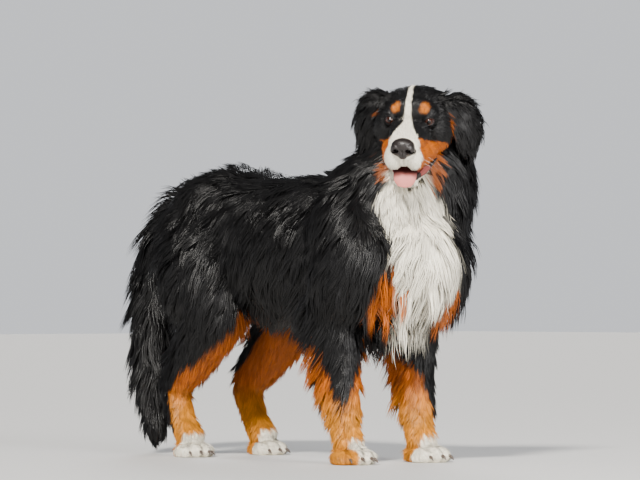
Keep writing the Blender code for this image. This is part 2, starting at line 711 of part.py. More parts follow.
def main():
    for obj in list(bpy.data.objects):
        bpy.data.objects.remove(obj)
    whole = fused("whole", body_shapes(CORE_SHARE), 0.8, 8, 0)
    outer = fused("outer", body_shapes(1.0), 1.0, 8, 0)
    body = copy_of(whole, "torso")
    decimate = body.modifiers.new("Decimate", "DECIMATE")
    decimate.ratio = BODY_TRIANGLES / len(body.data.polygons)
    apply_modifiers(body)
    tail = parted(body, "tail", (-30, 45.6, -5), (30, 90, 90))
    neck = parted(body, "neck", (-50, -90, 58.5), (50, 40, 130), (26.7, 0, 0), (0, -26, 58.5))
    coated = [body, tail, neck]
    for side, word in ((-1, "right"), (1, "left")):
        low, high = (-60, -5) if side < 0 else (5, 60)
        lean = 18.4 * side
        front, rear = ((low, -38, -60), (high, -9.5, 90)), ((low, 9, -60), (high, 60, 90))
        shoulder = parted(body, f"shoulder_{word}", *front, (0, lean, 0), (5 * side, 0, 22))
        foreleg = parted(shoulder, f"foreleg_{word}", (-60, -90, -60), (60, 90, 32))
        boolean(foreleg, block((-60, -60, -10), (60, 60, PAW_TOP["fore"] + GAP)), "DIFFERENCE")
        thigh = parted(body, f"thigh_{word}", *rear, (0, lean, 0), (5 * side, 0, 25))
        shank = parted(thigh, f"shank_{word}", (-60, -60, -60), (60, 90, 29.8), (26, 0, 0), (0, 24.7, 29.8))
        hock = parted(shank, f"hock_{word}", (-60, -60, -60), (60, 90, 17), (14, 0, 0), (0, 36, 17))
        boolean(hock, block((-60, -60, -10), (60, 60, PAW_TOP["hind"] + GAP)), "DIFFERENCE")
        for node in (shoulder, foreleg, thigh, shank, hock):
            largest_piece(node)
        coated += [shoulder, foreleg, thigh, shank]
        make_paw("fore", side, word)
        make_paw("hind", side, word)
    largest_piece(body)
    head = fused("head", head_shapes(1.0), 0.3, 4, 1060, head_place())
    jaw_shapes = [tube(JAW, 1.0)]
    nose_shapes = []
    for side in (-1, 1):
        jaw_shapes.append(tube([(row[0] * side, *row[1:]) for row in LIP], sides=12))
        for centre, radii in NOSE_BALLS:
            nose_shapes.append(ball((centre[0] * side, *centre[1:]), radii))
    jaw = fused("jaw", jaw_shapes, 0.3, 3, 300, jaw_place())
    tongue = new_object("tongue", tube(TONGUE, sides=10, steps=2, ends=(45,)), jaw_place())
    nose = fused("nose", nose_shapes, 0.2, 3, 150, head_place())
    for side, word in ((-1, "right"), (1, "left")):
        opening = new_object("cutter", ball((0, -EYE_SIZE, 0), EYE_OPENING, 12), eye_place(side))
        boolean(head, opening, "DIFFERENCE", "MANIFOLD")
        eye = new_object(f"eye_{word}", ball((0, 0, 0), (EYE_SIZE,) * 3, 12), eye_place(side))
        cut_clear(head, eye)
        nostril = ball((NOSTRIL[0][0] * side, *NOSTRIL[0][1:]), NOSTRIL[1], 8)
        boolean(nose, new_object("cutter", nostril, head_place()), "DIFFERENCE", "MANIFOLD")
    cut_clear(head, nose)
    cut_clear(tongue, head)
    cut_clear(jaw, head, tongue)
    cut_clear(neck, jaw, head, by=0.1)
    ears = []
    for side, word in ((-1, "right"), (1, "left")):
        ear = new_object(f"ear_{word}", ear_shape(side), head_place())
        cut_clear(ear, head)
        cut_clear(neck, ear)
        ears.append(ear)
    trees = {obj.name: [surface_of(obj)] for obj in bpy.data.objects if obj not in (whole, outer)}
    coat = {}
    for ear in ears:
        coat.update(grow_coat([ear], ear, None, trees, random.Random(EAR_SEED)))
    coat.update(grow_coat(coated, whole, surface_of(outer), trees, random.Random(SEED)))
    for guide in (whole, outer):
        bpy.data.objects.remove(guide)
    for name, locks in coat.items():
        if locks:
            add_locks(bpy.data.objects[name], locks)
    for obj in bpy.data.objects:
        colour, roughness = FINISH.get(obj.name.split("_")[0], (BLACK, 0.6))
        paint(obj, colour, roughness)
        obj.data.shade_smooth()
        obj.data.set_sharp_from_angle(angle=math.radians(40))
    centre_model()


main()
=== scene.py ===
# A bernese mountain dog as a museum would stand it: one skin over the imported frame, a long coat in locks,
# and the eyes, nose, tongue and claws as pieces of their own.
# The dog faces -Y and its left is +X. Places and lengths are in centimetres from the floor under the middle
# of the four feet, or in the head's own frame (origin inside the skull, nose towards -Y) where a note says so.
import math

import bmesh
import bpy
import numpy as np
from mathutils import Matrix, Vector
from mathutils.bvhtree import BVHTree
from mathutils.kdtree import KDTree


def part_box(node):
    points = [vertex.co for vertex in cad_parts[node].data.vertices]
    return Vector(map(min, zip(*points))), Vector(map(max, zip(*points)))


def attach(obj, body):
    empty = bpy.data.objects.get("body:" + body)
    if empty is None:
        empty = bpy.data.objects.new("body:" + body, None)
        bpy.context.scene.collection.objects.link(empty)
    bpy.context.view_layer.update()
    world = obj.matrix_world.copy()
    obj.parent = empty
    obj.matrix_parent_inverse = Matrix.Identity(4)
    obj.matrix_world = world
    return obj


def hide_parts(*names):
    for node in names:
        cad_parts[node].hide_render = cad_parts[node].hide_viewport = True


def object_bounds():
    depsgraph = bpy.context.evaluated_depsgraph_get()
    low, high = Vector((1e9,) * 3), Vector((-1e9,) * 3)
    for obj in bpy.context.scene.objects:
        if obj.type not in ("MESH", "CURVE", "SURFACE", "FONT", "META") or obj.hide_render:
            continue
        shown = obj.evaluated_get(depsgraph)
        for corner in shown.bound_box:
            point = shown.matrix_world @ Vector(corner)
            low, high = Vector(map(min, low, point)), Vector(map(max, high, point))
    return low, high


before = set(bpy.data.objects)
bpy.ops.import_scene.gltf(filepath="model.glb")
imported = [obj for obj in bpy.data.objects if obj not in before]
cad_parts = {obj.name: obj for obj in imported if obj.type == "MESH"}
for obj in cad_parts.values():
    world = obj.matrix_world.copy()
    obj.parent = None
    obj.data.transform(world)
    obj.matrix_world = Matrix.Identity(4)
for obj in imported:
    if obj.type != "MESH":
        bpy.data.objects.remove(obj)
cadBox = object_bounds()
cm = 0.01
dice = np.random.default_rng(21)

# how the dog holds its head
stance = {
    "headAt": (-4.5, -37.5, 77.0),
    "headTurn": -53.5,
    "headNod": 19.0,
    "headTilt": 2.8,
    "jawJoint": (0, -1.5, -5.0),
    "jawOpen": 18.0,
    "eyeAt": (4.2, -6.1, 0.95),
    "eyeRadius": 1.15,
    "eyeTurn": 24.0,  # the opening, outward
    "gazeTurn": 9.0,
    "eyeSlant": 8.0,
}


def turned(degrees, axis):
    return Matrix.Rotation(math.radians(degrees), 4, axis)


def headMatrix():
    spin = turned(stance["headTurn"], "Z") @ turned(stance["headNod"], "X") @ turned(stance["headTilt"], "Y")
    return Matrix.Translation(stance["headAt"]) @ spin


def jawMatrix():
    joint = Matrix.Translation(stance["jawJoint"])
    return headMatrix() @ joint @ turned(stance["jawOpen"], "X") @ joint.inverted()


def eyeMatrix(side, turn="eyeTurn"):
    x, y, z = stance["eyeAt"]
    spin = turned(stance[turn] * side, "Z") @ turned(-stance["eyeSlant"] * side, "Y")
    return headMatrix() @ Matrix.Translation((x * side, y, z)) @ spin


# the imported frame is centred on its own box, so the left eye gives the step from the numbers here to it
low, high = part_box("eye_left")
eyeSpot = headMatrix() @ Vector(stance["eyeAt"])
shift = (low + high) / 2 - eyeSpot * cm


def moved(points, matrix):
    turn = np.array(matrix.to_3x3())
    return np.asarray(points, float) @ turn.T + np.array(matrix.translation)


def unit(rows):
    return rows / np.maximum(np.linalg.norm(rows, axis=-1, keepdims=True), 1e-9)


def smoothstep(low, high, x):
    t = np.clip((x - low) / (high - low), 0, 1)
    return t * t * (3 - 2 * t)


# forms: tubes through stations and balls, as points and faces in centimetres


def smoothPath(rows, steps=4):
    rows = np.array(rows, float)
    padded = np.vstack([2 * rows[0] - rows[1], rows, 2 * rows[-1] - rows[-2]])
    out = []
    for i in range(1, len(padded) - 2):
        a, b, c, d = padded[i - 1 : i + 3]
        for k in range(steps):
            t = k / steps
            bend = (2 * a - 5 * b + 4 * c - d) * t**2 + (3 * b - a - 3 * c + d) * t**3
            out.append(0.5 * (2 * b + (c - a) * t + bend))
    out.append(rows[-1])
    return np.array(out)


def tubeShape(stations, grow=0.0, sides=32, square=2.3, cup=0.0, wide=(1, 0, 0), steps=6):
    rows = smoothPath(stations, steps)
    centres = rows[:, :3]
    halves = np.maximum(rows[:, 3:5] + grow * rows[:, 5:6], 0.05)
    along = unit(np.gradient(centres, axis=0))
    across = unit(np.array(wide) - (along @ np.array(wide))[:, None] * along)
    deep = np.cross(along, across)
    turn = np.arange(sides) * 2 * math.pi / sides
    outline = np.stack([np.cos(turn), np.sin(turn)], axis=1)
    outline = np.sign(outline) * np.abs(outline) ** (2 / square)
    rings = []

    def ring(i, push, scale):
        x = outline[:, 0] * halves[i, 0] * scale
        z = outline[:, 1] * halves[i, 1] * scale + cup * halves[i, 0] * (1 - outline[:, 0] ** 2) * scale
        rings.append(centres[i] + along[i] * push + x[:, None] * across[i] + z[:, None] * deep[i])

    last = len(rows) - 1
    ends = (15, 30, 45, 60, 75)
    for angle in reversed(ends):
        ring(0, -halves[0].min() * math.sin(math.radians(angle)), math.cos(math.radians(angle)))
    for i in range(last + 1):
        ring(i, 0, 1)
    for angle in ends:
        ring(last, halves[last].min() * math.sin(math.radians(angle)), math.cos(math.radians(angle)))
    poles = [rings[0].mean(axis=0), rings[-1].mean(axis=0)]
    points = np.vstack([*rings, *poles])
    faces = []
    for r in range(len(rings) - 1):
        for s in range(sides):
            a, b = r * sides + s, r * sides + (s + 1) % sides
            faces.append((a, a + sides, b + sides, b))
    start, end, top = len(points) - 2, len(points) - 1, (len(rings) - 1) * sides
    for s in range(sides):
        faces.append((start, s, (s + 1) % sides))
        faces.append((end, top + (s + 1) % sides, top + s))
    return points, faces


def ballShape(centre, radii, sides=32):
    centre, radii = np.array(centre, float), np.array(radii, float)
    rings = sides // 2 - 1
    points, faces = [centre + (0, 0, radii[2])], []
    for r in range(1, rings + 1):
        tilt = math.pi * r / (rings + 1)
        for s in range(sides):
            turn = 2 * math.pi * s / sides
            way = (math.sin(tilt) * math.cos(turn), math.sin(tilt) * math.sin(turn), math.cos(tilt))
            points.append(centre + radii * way)
    points.append(centre - (0, 0, radii[2]))
    last = len(points) - 1
    for s in range(sides):
        t = (s + 1) % sides
        faces.append((0, 1 + s, 1 + t))
        faces.append((last, last - sides + t, last - sides + s))
        for r in range(rings - 1):
            a, b = 1 + r * sides + s, 1 + r * sides + t
            faces.append((a, a + sides, b + sides, b))
    return np.array(points), faces


def shapeMoved(shape, matrix):
    return moved(shape[0], matrix), shape[1]


def shapesJoined(shapes):
    points, faces, count = [], [], 0
    for some, quads in shapes:
        points.append(some)
        faces += [tuple(i + count for i in face) for face in quads]
        count += len(some)
    return np.vstack(points), faces


def bothSides(rows):
    return rows, [(-row[0], *row[1:]) for row in rows]


def makeObject(name, shape):
    points, faces = shape
    mesh = bpy.data.meshes.new(name)
    mesh.from_pydata((points * cm + np.array(shift)).tolist(), [], faces)
    made = bpy.data.objects.new(name, mesh)
    bpy.context.scene.collection.objects.link(made)
    work = bmesh.new()
    work.from_mesh(mesh)
    bmesh.ops.recalc_face_normals(work, faces=work.faces)
    work.to_mesh(mesh)
    work.free()
    return made


def applyModifiers(made):
    bpy.context.view_layer.update()
    fresh = bpy.data.meshes.new_from_object(made.evaluated_get(bpy.context.evaluated_depsgraph_get()))
    made.modifiers.clear()
    old, made.data = made.data, fresh
    bpy.data.meshes.remove(old)


def remeshed(name, shapes, voxel, rounds):
    made = makeObject(name, shapesJoined(shapes))
    remesh = made.modifiers.new("Remesh", "REMESH")
    remesh.mode = "VOXEL"
    remesh.voxel_size = voxel * cm
    smooth = made.modifiers.new("Smooth", "SMOOTH")
    smooth.factor = 0.5
    smooth.iterations = rounds
    applyModifiers(made)
    return made


def combine(made, other, operation):
    modifier = made.modifiers.new("Boolean", "BOOLEAN")
    modifier.operation = operation
    modifier.object = other
    modifier.solver = "MANIFOLD"
    applyModifiers(made)
    bpy.data.objects.remove(other)


def pointsOf(made):
    flat = np.empty(len(made.data.vertices) * 3)
    made.data.vertices.foreach_get("co", flat)
    return (flat.reshape(-1, 3) - np.array(shift)) / cm


def setPoints(made, points):
    made.data.vertices.foreach_set("co", (points * cm + np.array(shift)).ravel())
    made.data.update()


def normalsOf(made):
    flat = np.empty(len(made.data.vertices) * 3)
    made.data.vertices.foreach_get("co", flat)
    made.data.vertex_normals.foreach_get("vector", flat)
    return flat.reshape(-1, 3)


# body: a station is centre x, y, z, half width, half depth and the coat's depth
bodyForm = {
    "torso": [
        (0, -33.5, 46.0, 7.5, 8.5, 3.5),
        (0, -28.5, 47.0, 11.5, 13.0, 3.5),
        (0, -21.0, 48.3, 13.0, 15.8, 3.0),
        (0, -10.0, 48.3, 14.0, 15.4, 2.6),
        (0, 3.0, 48.8, 14.6, 14.4, 2.4),
        (0, 15.0, 50.4, 13.6, 13.2, 2.8),
        (0, 26.0, 53.1, 12.2, 12.0, 3.8),
        (0, 34.0, 53.6, 10.8, 10.2, 4.2),
        (0, 38.0, 52.6, 8.5, 7.2, 3.4),
    ],
    "neck": [
        (0, -16.5, 50.5, 11.0, 13.0, 3.0),
        (1.8, -24.0, 56.5, 13.2, 12.6, 4.2),
        (2.0, -28.6, 62.0, 12.2, 11.0, 4.8),
        (1.5, -31.4, 67.5, 10.6, 8.8, 4.8),
        (-0.2, -33.0, 73.0, 8.2, 7.0, 3.0),
    ],
    "tail": [
        (0, 40.0, 58.0, 3.4, 3.8, 3.6),
        (0, 46.8, 56.2, 2.8, 3.2, 4.8),
        (-0.6, 52.9, 49.6, 2.3, 2.5, 5.4),
        (-1.2, 55.8, 40.0, 1.9, 2.2, 5.2),
        (-1.8, 56.6, 30.0, 1.7, 2.0, 5.0),
        (-2.4, 56.0, 20.0, 1.5, 1.7, 4.4),
        (-3.0, 54.4, 11.5, 1.3, 1.3, 3.4),
        (-3.3, 53.8, 5.8, 1.1, 1.1, 2.6),
    ],
    "foreleg": [
        (11.2, -20.5, 56.0, 3.8, 6.8, 2.7),
        (12.3, -26.0, 47.0, 5.0, 7.6, 2.8),
        (12.5, -23.5, 40.0, 5.3, 7.0, 2.6),
        (11.6, -20.8, 34.0, 4.2, 5.4, 2.0),
        (11.2, -21.6, 27.0, 3.2, 4.0, 1.4),
        (10.9, -22.6, 19.0, 2.5, 3.0, 1.0),
        (10.7, -23.0, 13.0, 2.5, 2.8, 0.8),
        (10.5, -23.6, 8.0, 2.4, 2.6, 0.8),
        (10.4, -24.8, 4.8, 2.7, 2.6, 0.8),
    ],
    "hindleg": [
        (7.5, 30.0, 53.0, 5.5, 9.0, 3.0),
        (10.2, 27.5, 46.0, 6.2, 10.4, 3.0),
        (11.4, 24.0, 39.0, 5.8, 8.8, 3.0),
        (11.6, 22.5, 33.0, 4.9, 6.6, 2.6),
        (11.2, 27.0, 26.5, 3.6, 5.0, 2.2),
        (10.9, 33.0, 20.0, 2.6, 3.6, 1.4),
        (10.7, 36.0, 15.5, 2.3, 3.0, 0.9),
        (10.6, 34.2, 10.5, 2.0, 2.5, 0.8),
        (10.5, 31.8, 6.5, 2.2, 2.5, 0.8),
        (10.5, 30.2, 4.6, 2.6, 2.5, 0.8),
    ],
    "fringe": [
        (12.0, -16.6, 37.0, 2.6, 2.2, 2.8),
        (11.4, -17.6, 28.0, 1.9, 1.8, 3.0),
        (10.9, -19.4, 19.0, 1.4, 1.4, 2.8),
        (10.6, -20.8, 13.0, 1.0, 1.0, 2.0),
    ],
    "coreShare": 0.4,  # how much of the coat's depth the skin already stands out
    "stepBack": {("fore", -1): 2.6, ("fore", 1): 0.6, ("hind", -1): 2.2, ("hind", 1): 0.2},
    "stepFrom": 45.0,
    "voxel": 0.75,
    "rounds": 6,
}

pawForm = {
    "at": {"fore": (10.4, -24.4), "hind": (10.5, 30.8)},
    "turn": 6.0,
    "scale": {"fore": 1.0, "hind": 0.92},
    "sink": 0.45,
    # middle, radii and turn of each toe, from the paw's own place
    "toes": [
        ((-3.3, -2.6, 1.85), (1.6, 3.0, 1.8), -14),
        ((-1.25, -4.0, 2.05), (1.6, 3.4, 2.0), -4),
        ((1.25, -4.0, 2.05), (1.6, 3.4, 2.0), 4),
        ((3.3, -2.6, 1.85), (1.6, 3.0, 1.8), 14),
    ],
    "heel": [((0, 0.6, 1.8), (2.9, 2.8, 2.5)), ((0, -1.4, 2.7), (2.8, 3.4, 2.2))],
    "claw": [(0, 1.0, 0.3, 0.36, 0.44, 0), (0, -0.4, 0.12, 0.3, 0.36, 0), (0, -1.1, -0.5, 0.1, 0.13, 0)],
    "voxel": 0.26,
}


def legRows(kind, side, part="leg"):
    rows = []
    for x, y, z, wide, deep, coat in bodyForm["fringe" if part == "fringe" else kind + part]:
        back = bodyForm["stepBack"][kind, side] * max(0, 1 - z / bodyForm["stepFrom"])
        rows.append((x * side, y + back, z, wide, deep, coat))
    return rows


def pawMatrix(kind, side):
    x, y = pawForm["at"][kind]
    place = Vector((x * side, y + bodyForm["stepBack"][kind, side], -pawForm["sink"]))
    spin = turned(pawForm["turn"] * side, "Z") @ Matrix.Scale(pawForm["scale"][kind], 4)
    return Matrix.Translation(place) @ spin


def bodyShapes():
    share = bodyForm["coreShare"]
    shapes = [tubeShape(bodyForm[name], share) for name in ("torso", "neck", "tail")]
    for kind in ("fore", "hind"):
        for side in (-1, 1):
            shapes.append(tubeShape(legRows(kind, side), share))
            if kind == "fore":
                shapes.append(tubeShape(legRows(kind, side, "fringe"), share, sides=16))
    return shapes


def pawShapes():
    shapes = []
    for kind in ("fore", "hind"):
        for side in (-1, 1):
            place = pawMatrix(kind, side)
            shapes.append(tubeShape(legRows(kind, side)[-4:], bodyForm["coreShare"]))
            for centre, radii, _ in pawForm["toes"]:
                shapes.append(shapeMoved(ballShape(centre, radii), place))
            for centre, radii in pawForm["heel"]:
                shapes.append(shapeMoved(ballShape(centre, radii), place))
    return shapes


# head: all of it in the head's own frame
headForm = {
    # centre and radii, with a twin for each that is off the middle
    "skull": [
        ((0, 1.8, 0.4), (7.3, 7.7, 5.5)),
        ((0, -3.0, 1.8), (5.5, 4.3, 3.4)),
        ((3.2, -4.4, 1.9), (2.5, 2.2, 1.9)),
        ((5.2, -1.2, -2.4), (3.1, 5.0, 4.7)),
        ((2.4, -13.3, -5.4), (2.0, 2.7, 2.8)),
        ((0, -13.7, -5.0), (1.7, 2.3, 2.2)),
        ((3.4, -10.2, -5.8), (1.8, 3.4, 2.4)),
        ((4.3, -6.8, -5.4), (1.6, 3.3, 2.1)),
        ((0, 4.5, -4.5), (6.2, 5.5, 5.5)),
        ((6.1, 1.5, 1.6), (1.9, 2.6, 2.2)),
        ((6.9, 0.2, 0.4), (1.5, 1.9, 2.4)),
    ],
    "muzzle": [
        (0, -3.5, -1.9, 4.8, 4.0, 0),
        (0, -7.5, -2.3, 4.1, 3.5, 0),
        (0, -11.5, -2.8, 3.8, 3.1, 0),
        (0, -14.0, -3.2, 3.4, 2.8, 0),
    ],
    "jaw": [
        (0, -0.5, -5.6, 5.0, 2.6, 0),
        (0, -6.0, -6.6, 4.0, 2.1, 0),
        (0, -10.5, -7.1, 3.3, 1.8, 0),
        (0, -13.2, -7.2, 2.7, 1.4, 0),
    ],
    "lip": [
        (1.6, -14.0, -6.7, 0.6, 0.5, 0),
        (2.8, -11.5, -6.1, 0.6, 0.6, 0),
        (3.7, -8.0, -5.5, 0.65, 0.75, 0),
        (4.5, -4.5, -5.0, 0.7, 0.8, 0),
        (5.0, -2.0, -4.6, 0.7, 0.8, 0),
    ],
    # the loose lower lip on the left, from the corner of the mouth to beside the tongue
    "flew": [
        (5.9, -6.6, -7.3, 0.3, 0.2, 0),
        (5.0, -8.3, -8.4, 0.35, 0.45, 0),
        (3.9, -10.2, -9.1, 0.5, 0.9, 0),
        (3.0, -12.0, -9.7, 0.4, 0.7, 0),
        (2.3, -13.2, -10.1, 0.3, 0.4, 0),
    ],
    "ear": [
        (4.8, 2.6, 2.8, 3.0),
        (7.4, 2.3, 3.2, 3.3),
        (9.5, 2.2, 1.7, 3.9),
        (10.7, 2.0, -0.9, 4.4),
        (11.2, 2.0, -3.8, 3.9),
        (11.2, 2.0, -6.4, 2.9),
        (11.1, 1.9, -8.4, 1.2),
    ],
    "earThickness": 0.6,
    "earTurn": 51.0,
    "earCup": 0.22,
    "voxel": 0.2,
}


def headShapes():
    shapes = [tubeShape(headForm["muzzle"], square=2.6), tubeShape(headForm["jaw"])]
    jawShift = headMatrix().inverted() @ jawMatrix()
    shapes[1] = shapeMoved(shapes[1], jawShift)
    for rows in bothSides(headForm["lip"]):
        shapes.append(shapeMoved(tubeShape(rows, sides=16), jawShift))
    shapes.append(tubeShape(headForm["flew"], sides=20))
    for side in (-1, 1):
        x, y, z = stance["eyeAt"]
        shapes.append(ballShape((x * side, y, z), (stance["eyeRadius"] + 0.3,) * 3))
        turn = math.radians(headForm["earTurn"])
        wide = (math.cos(turn) * side, math.sin(turn), 0)
        rows = [(x * side, y, z, half, headForm["earThickness"] / 2, 0) for x, y, z, half in headForm["ear"]]
        shapes.append(tubeShape(rows, square=2.0, cup=headForm["earCup"] * side, wide=wide))
    for centre, radii in headForm["skull"]:
        for side in (-1, 1) if centre[0] else (1,):
            shapes.append(ballShape((centre[0] * side, *centre[1:]), radii))
    return [shapeMoved(shape, headMatrix()) for shape in shapes]


eyeForm = {
    "halfWide": 71.0,  # degrees of the opening seen from the eye's middle
    "halfHigh": 46.0,
    "lowShare": 0.85,  # of that height under the middle
    "lidThickness": 0.17,
    "lidReach": 1.9,  # where the lid has run out into the face, in openings
}


def refineNear(made, places, reach):
    work = bmesh.new()
    work.from_mesh(made.data)
    spots = [Vector(place) * cm + shift for place in places]
    edges = {
        edge
        for face in work.faces
        if any((face.calc_center_median() - spot).length < reach * cm for spot in spots)
        for edge in face.edges
    }
    bmesh.ops.subdivide_edges(work, edges=list(edges), cuts=1, use_grid_fill=True)
    bmesh.ops.triangulate(work, faces=[face for face in work.faces if len(face.verts) > 4])
    work.to_mesh(made.data)
    work.free()


def lidOpening(points, side):
    # how far out from the middle of the eye's opening a point lies: 1 on the lids' edge, large away from the eye
    local = moved(points, eyeMatrix(side).inverted())
    near = (np.linalg.norm(local, axis=1) < 3.4) & (local[:, 1] < 0.35)
    across = np.degrees(np.arctan2(local[:, 0], -local[:, 1]))
    up = np.degrees(np.arctan2(local[:, 2], np.hypot(local[:, 0], local[:, 1])))
    sharp = 1 + 0.15 * np.abs(across / eyeForm["halfWide"]) ** 3  # corners drawn to points
    high = eyeForm["halfHigh"] * np.where(up > 0, 1.0, eyeForm["lowShare"])
    opening = np.sqrt((across / eyeForm["halfWide"]) ** 2 + (up * sharp / high) ** 2)
    return np.where(near, opening, 9.0), near, local


def openEyes(made):
    points = pointsOf(made)
    radius = stance["eyeRadius"]
    for side in (-1, 1):
        place = eyeMatrix(side)
        opening, near, local = lidOpening(points, side)
        lid = radius + eyeForm["lidThickness"] * np.clip(1 - (opening - 1.3) ** 2 / 0.5, 0.35, 1)
        target = np.where(opening < 1.0, radius * 0.8, lid)
        weight = 1 - smoothstep(1.25, eyeForm["lidReach"], opening)
        wanted = unit(local) * target[:, None]
        weight = (weight * near)[:, None]
        points = moved(local * (1 - weight) + wanted * weight, place)
    setPoints(made, points)


def shapeFace(made):
    points = pointsOf(made)
    local = moved(points, headMatrix().inverted())
    x, y, z = local.T
    # the cleft under the nose, down the middle of the upper lip
    cleft = np.exp(-((x / 0.28) ** 2)) * smoothstep(-13.5, -15.0, y) * smoothstep(-3.0, -4.2, z)
    local[:, 1] += 0.35 * cleft
    # flesh kept back behind the nose leather, so that the nostrils stay open
    behind = np.exp(-(((np.abs(x) - 1.2) / 1.1) ** 2) - ((z + 2.9) / 1.1) ** 2) * smoothstep(-14.0, -15.2, y)
    local[:, 1] += 1.5 * behind
    # a furrow up the middle of the forehead
    furrow = np.exp(-((x / 0.9) ** 2)) * np.exp(-(((y + 3.5) / 3.0) ** 2)) * smoothstep(2.0, 4.0, z)
    local[:, 2] -= 0.28 * furrow
    setPoints(made, moved(local, headMatrix()))


def makeSkin():
    skin = remeshed("skin", bodyShapes(), bodyForm["voxel"], bodyForm["rounds"])
    paws = remeshed("paws", pawShapes(), pawForm["voxel"], 3)
    head = remeshed("head", headShapes(), headForm["voxel"], 3)
    places = [moved([stance["eyeAt"]], headMatrix())[0], (eyeMatrix(-1) @ Vector((0, 0, 0)))]
    refineNear(head, places, 2.6)
    openEyes(head)
    shapeFace(head)
    points = pointsOf(paws)
    points[:, 2] = np.maximum(points[:, 2], 0.0)
    setPoints(paws, points)
    combine(skin, paws, "UNION")
    combine(skin, head, "UNION")
    skin.data.shade_smooth()
    return skin


skin = makeSkin()
print("skin", len(skin.data.polygons), "faces")

# markings: one function paints both the skin and the coat
markings = {
    "black": (0.0055, 0.0052, 0.0055),
    "rust": (0.44, 0.10, 0.002),
    "gold": (0.74, 0.29, 0.02),
    "white": (0.98, 0.92, 0.76),
    "lip": (0.03, 0.02, 0.018),
    "mouth": (0.2, 0.04, 0.04),
    "gum": (0.3, 0.07, 0.06),
    # height, and the white bib's left and right edge across the way that the chest faces
    "bib": [
        (70, 16.5, 23.5),
        (62, 16.0, 24.6),
        (59, 12.9, 27.3),
        (56, 14.0, 29.2),
        (52, 15.2, 28.4),
        (48, 16.6, 31.0),
        (45, 16.8, 32.6),
        (41, 17.6, 32.0),
        (37, 17.2, 29.6),
        (34, 18.5, 27.3),
        (31, 17.5, 24.6),
        (26, 15.6, 26.2),
        (20, 16.0, 25.4),
    ],
    "bibTurn": 42.0,  # degrees to the dog's right
    # in the head's frame: along the nose, and the blaze's half width there
    "blaze": [(-15, 6), (-13.6, 3.2), (-12.5, 2.6), (-10.5, 1.7), (-8.5, 1.0), (-6, 0.6), (-3, 0.55), (0, 0.5), (4, 0.3)],
    "blazeLean": [(-12, -0.3), (-8, -0.2), (-5, -0.5), (0, -0.9), (4, -1.0)],
    # the rust edge down the front of the left ear, and the spot on the right one
    "earEdge": [(8.6, -1.6, 1.4), (8.5, -1.8, -0.9), (8.6, -1.4, -3.8), (8.9, -0.8, -7.0)],
    "earSpot": (-8.6, -1.5, 0.9),
    "brow": ((3.25, -5.8, 3.9), (1.0, 1.7, 1.25)),
    # the middle of the black on each leg, in degrees from its front, and how far round it reaches by height
    "foreBlack": (50.0, [(11.5, 0), (16, 34), (20, 60), (25, 95), (29, 150), (32, 182)]),
    "hindBlack": (140.0, [(5, 0), (8, 38), (12, 52), (17, 75), (22, 112), (28, 128), (32, 150), (36, 182)]),
    "wobble": 0.45,
}


def wobble(points, scale=1.0):
    x, y, z = points.T
    rough = np.sin(1.9 * x + 1.3 * z) + np.sin(1.7 * y - 2.1 * z + 1.0) + np.sin(3.7 * x - 2.9 * y + 2.3 * z)
    return rough * markings["wobble"] * scale / 1.7


def inBall(points, centre, radii, soft=0.2):
    reach = np.linalg.norm((points - np.array(centre)) / np.array(radii), axis=1)
    return 1 - smoothstep(1 - soft, 1 + soft, reach)


def legFacing(points, kind, side):
    rows = np.array(legRows(kind, side))
    order = np.argsort(rows[:, 2])
    x = np.interp(points[:, 2], rows[order, 2], rows[order, 0])
    y = np.interp(points[:, 2], rows[order, 2], rows[order, 1])
    return np.degrees(np.arctan2((points[:, 0] - x) * side, -(points[:, 1] - y)))


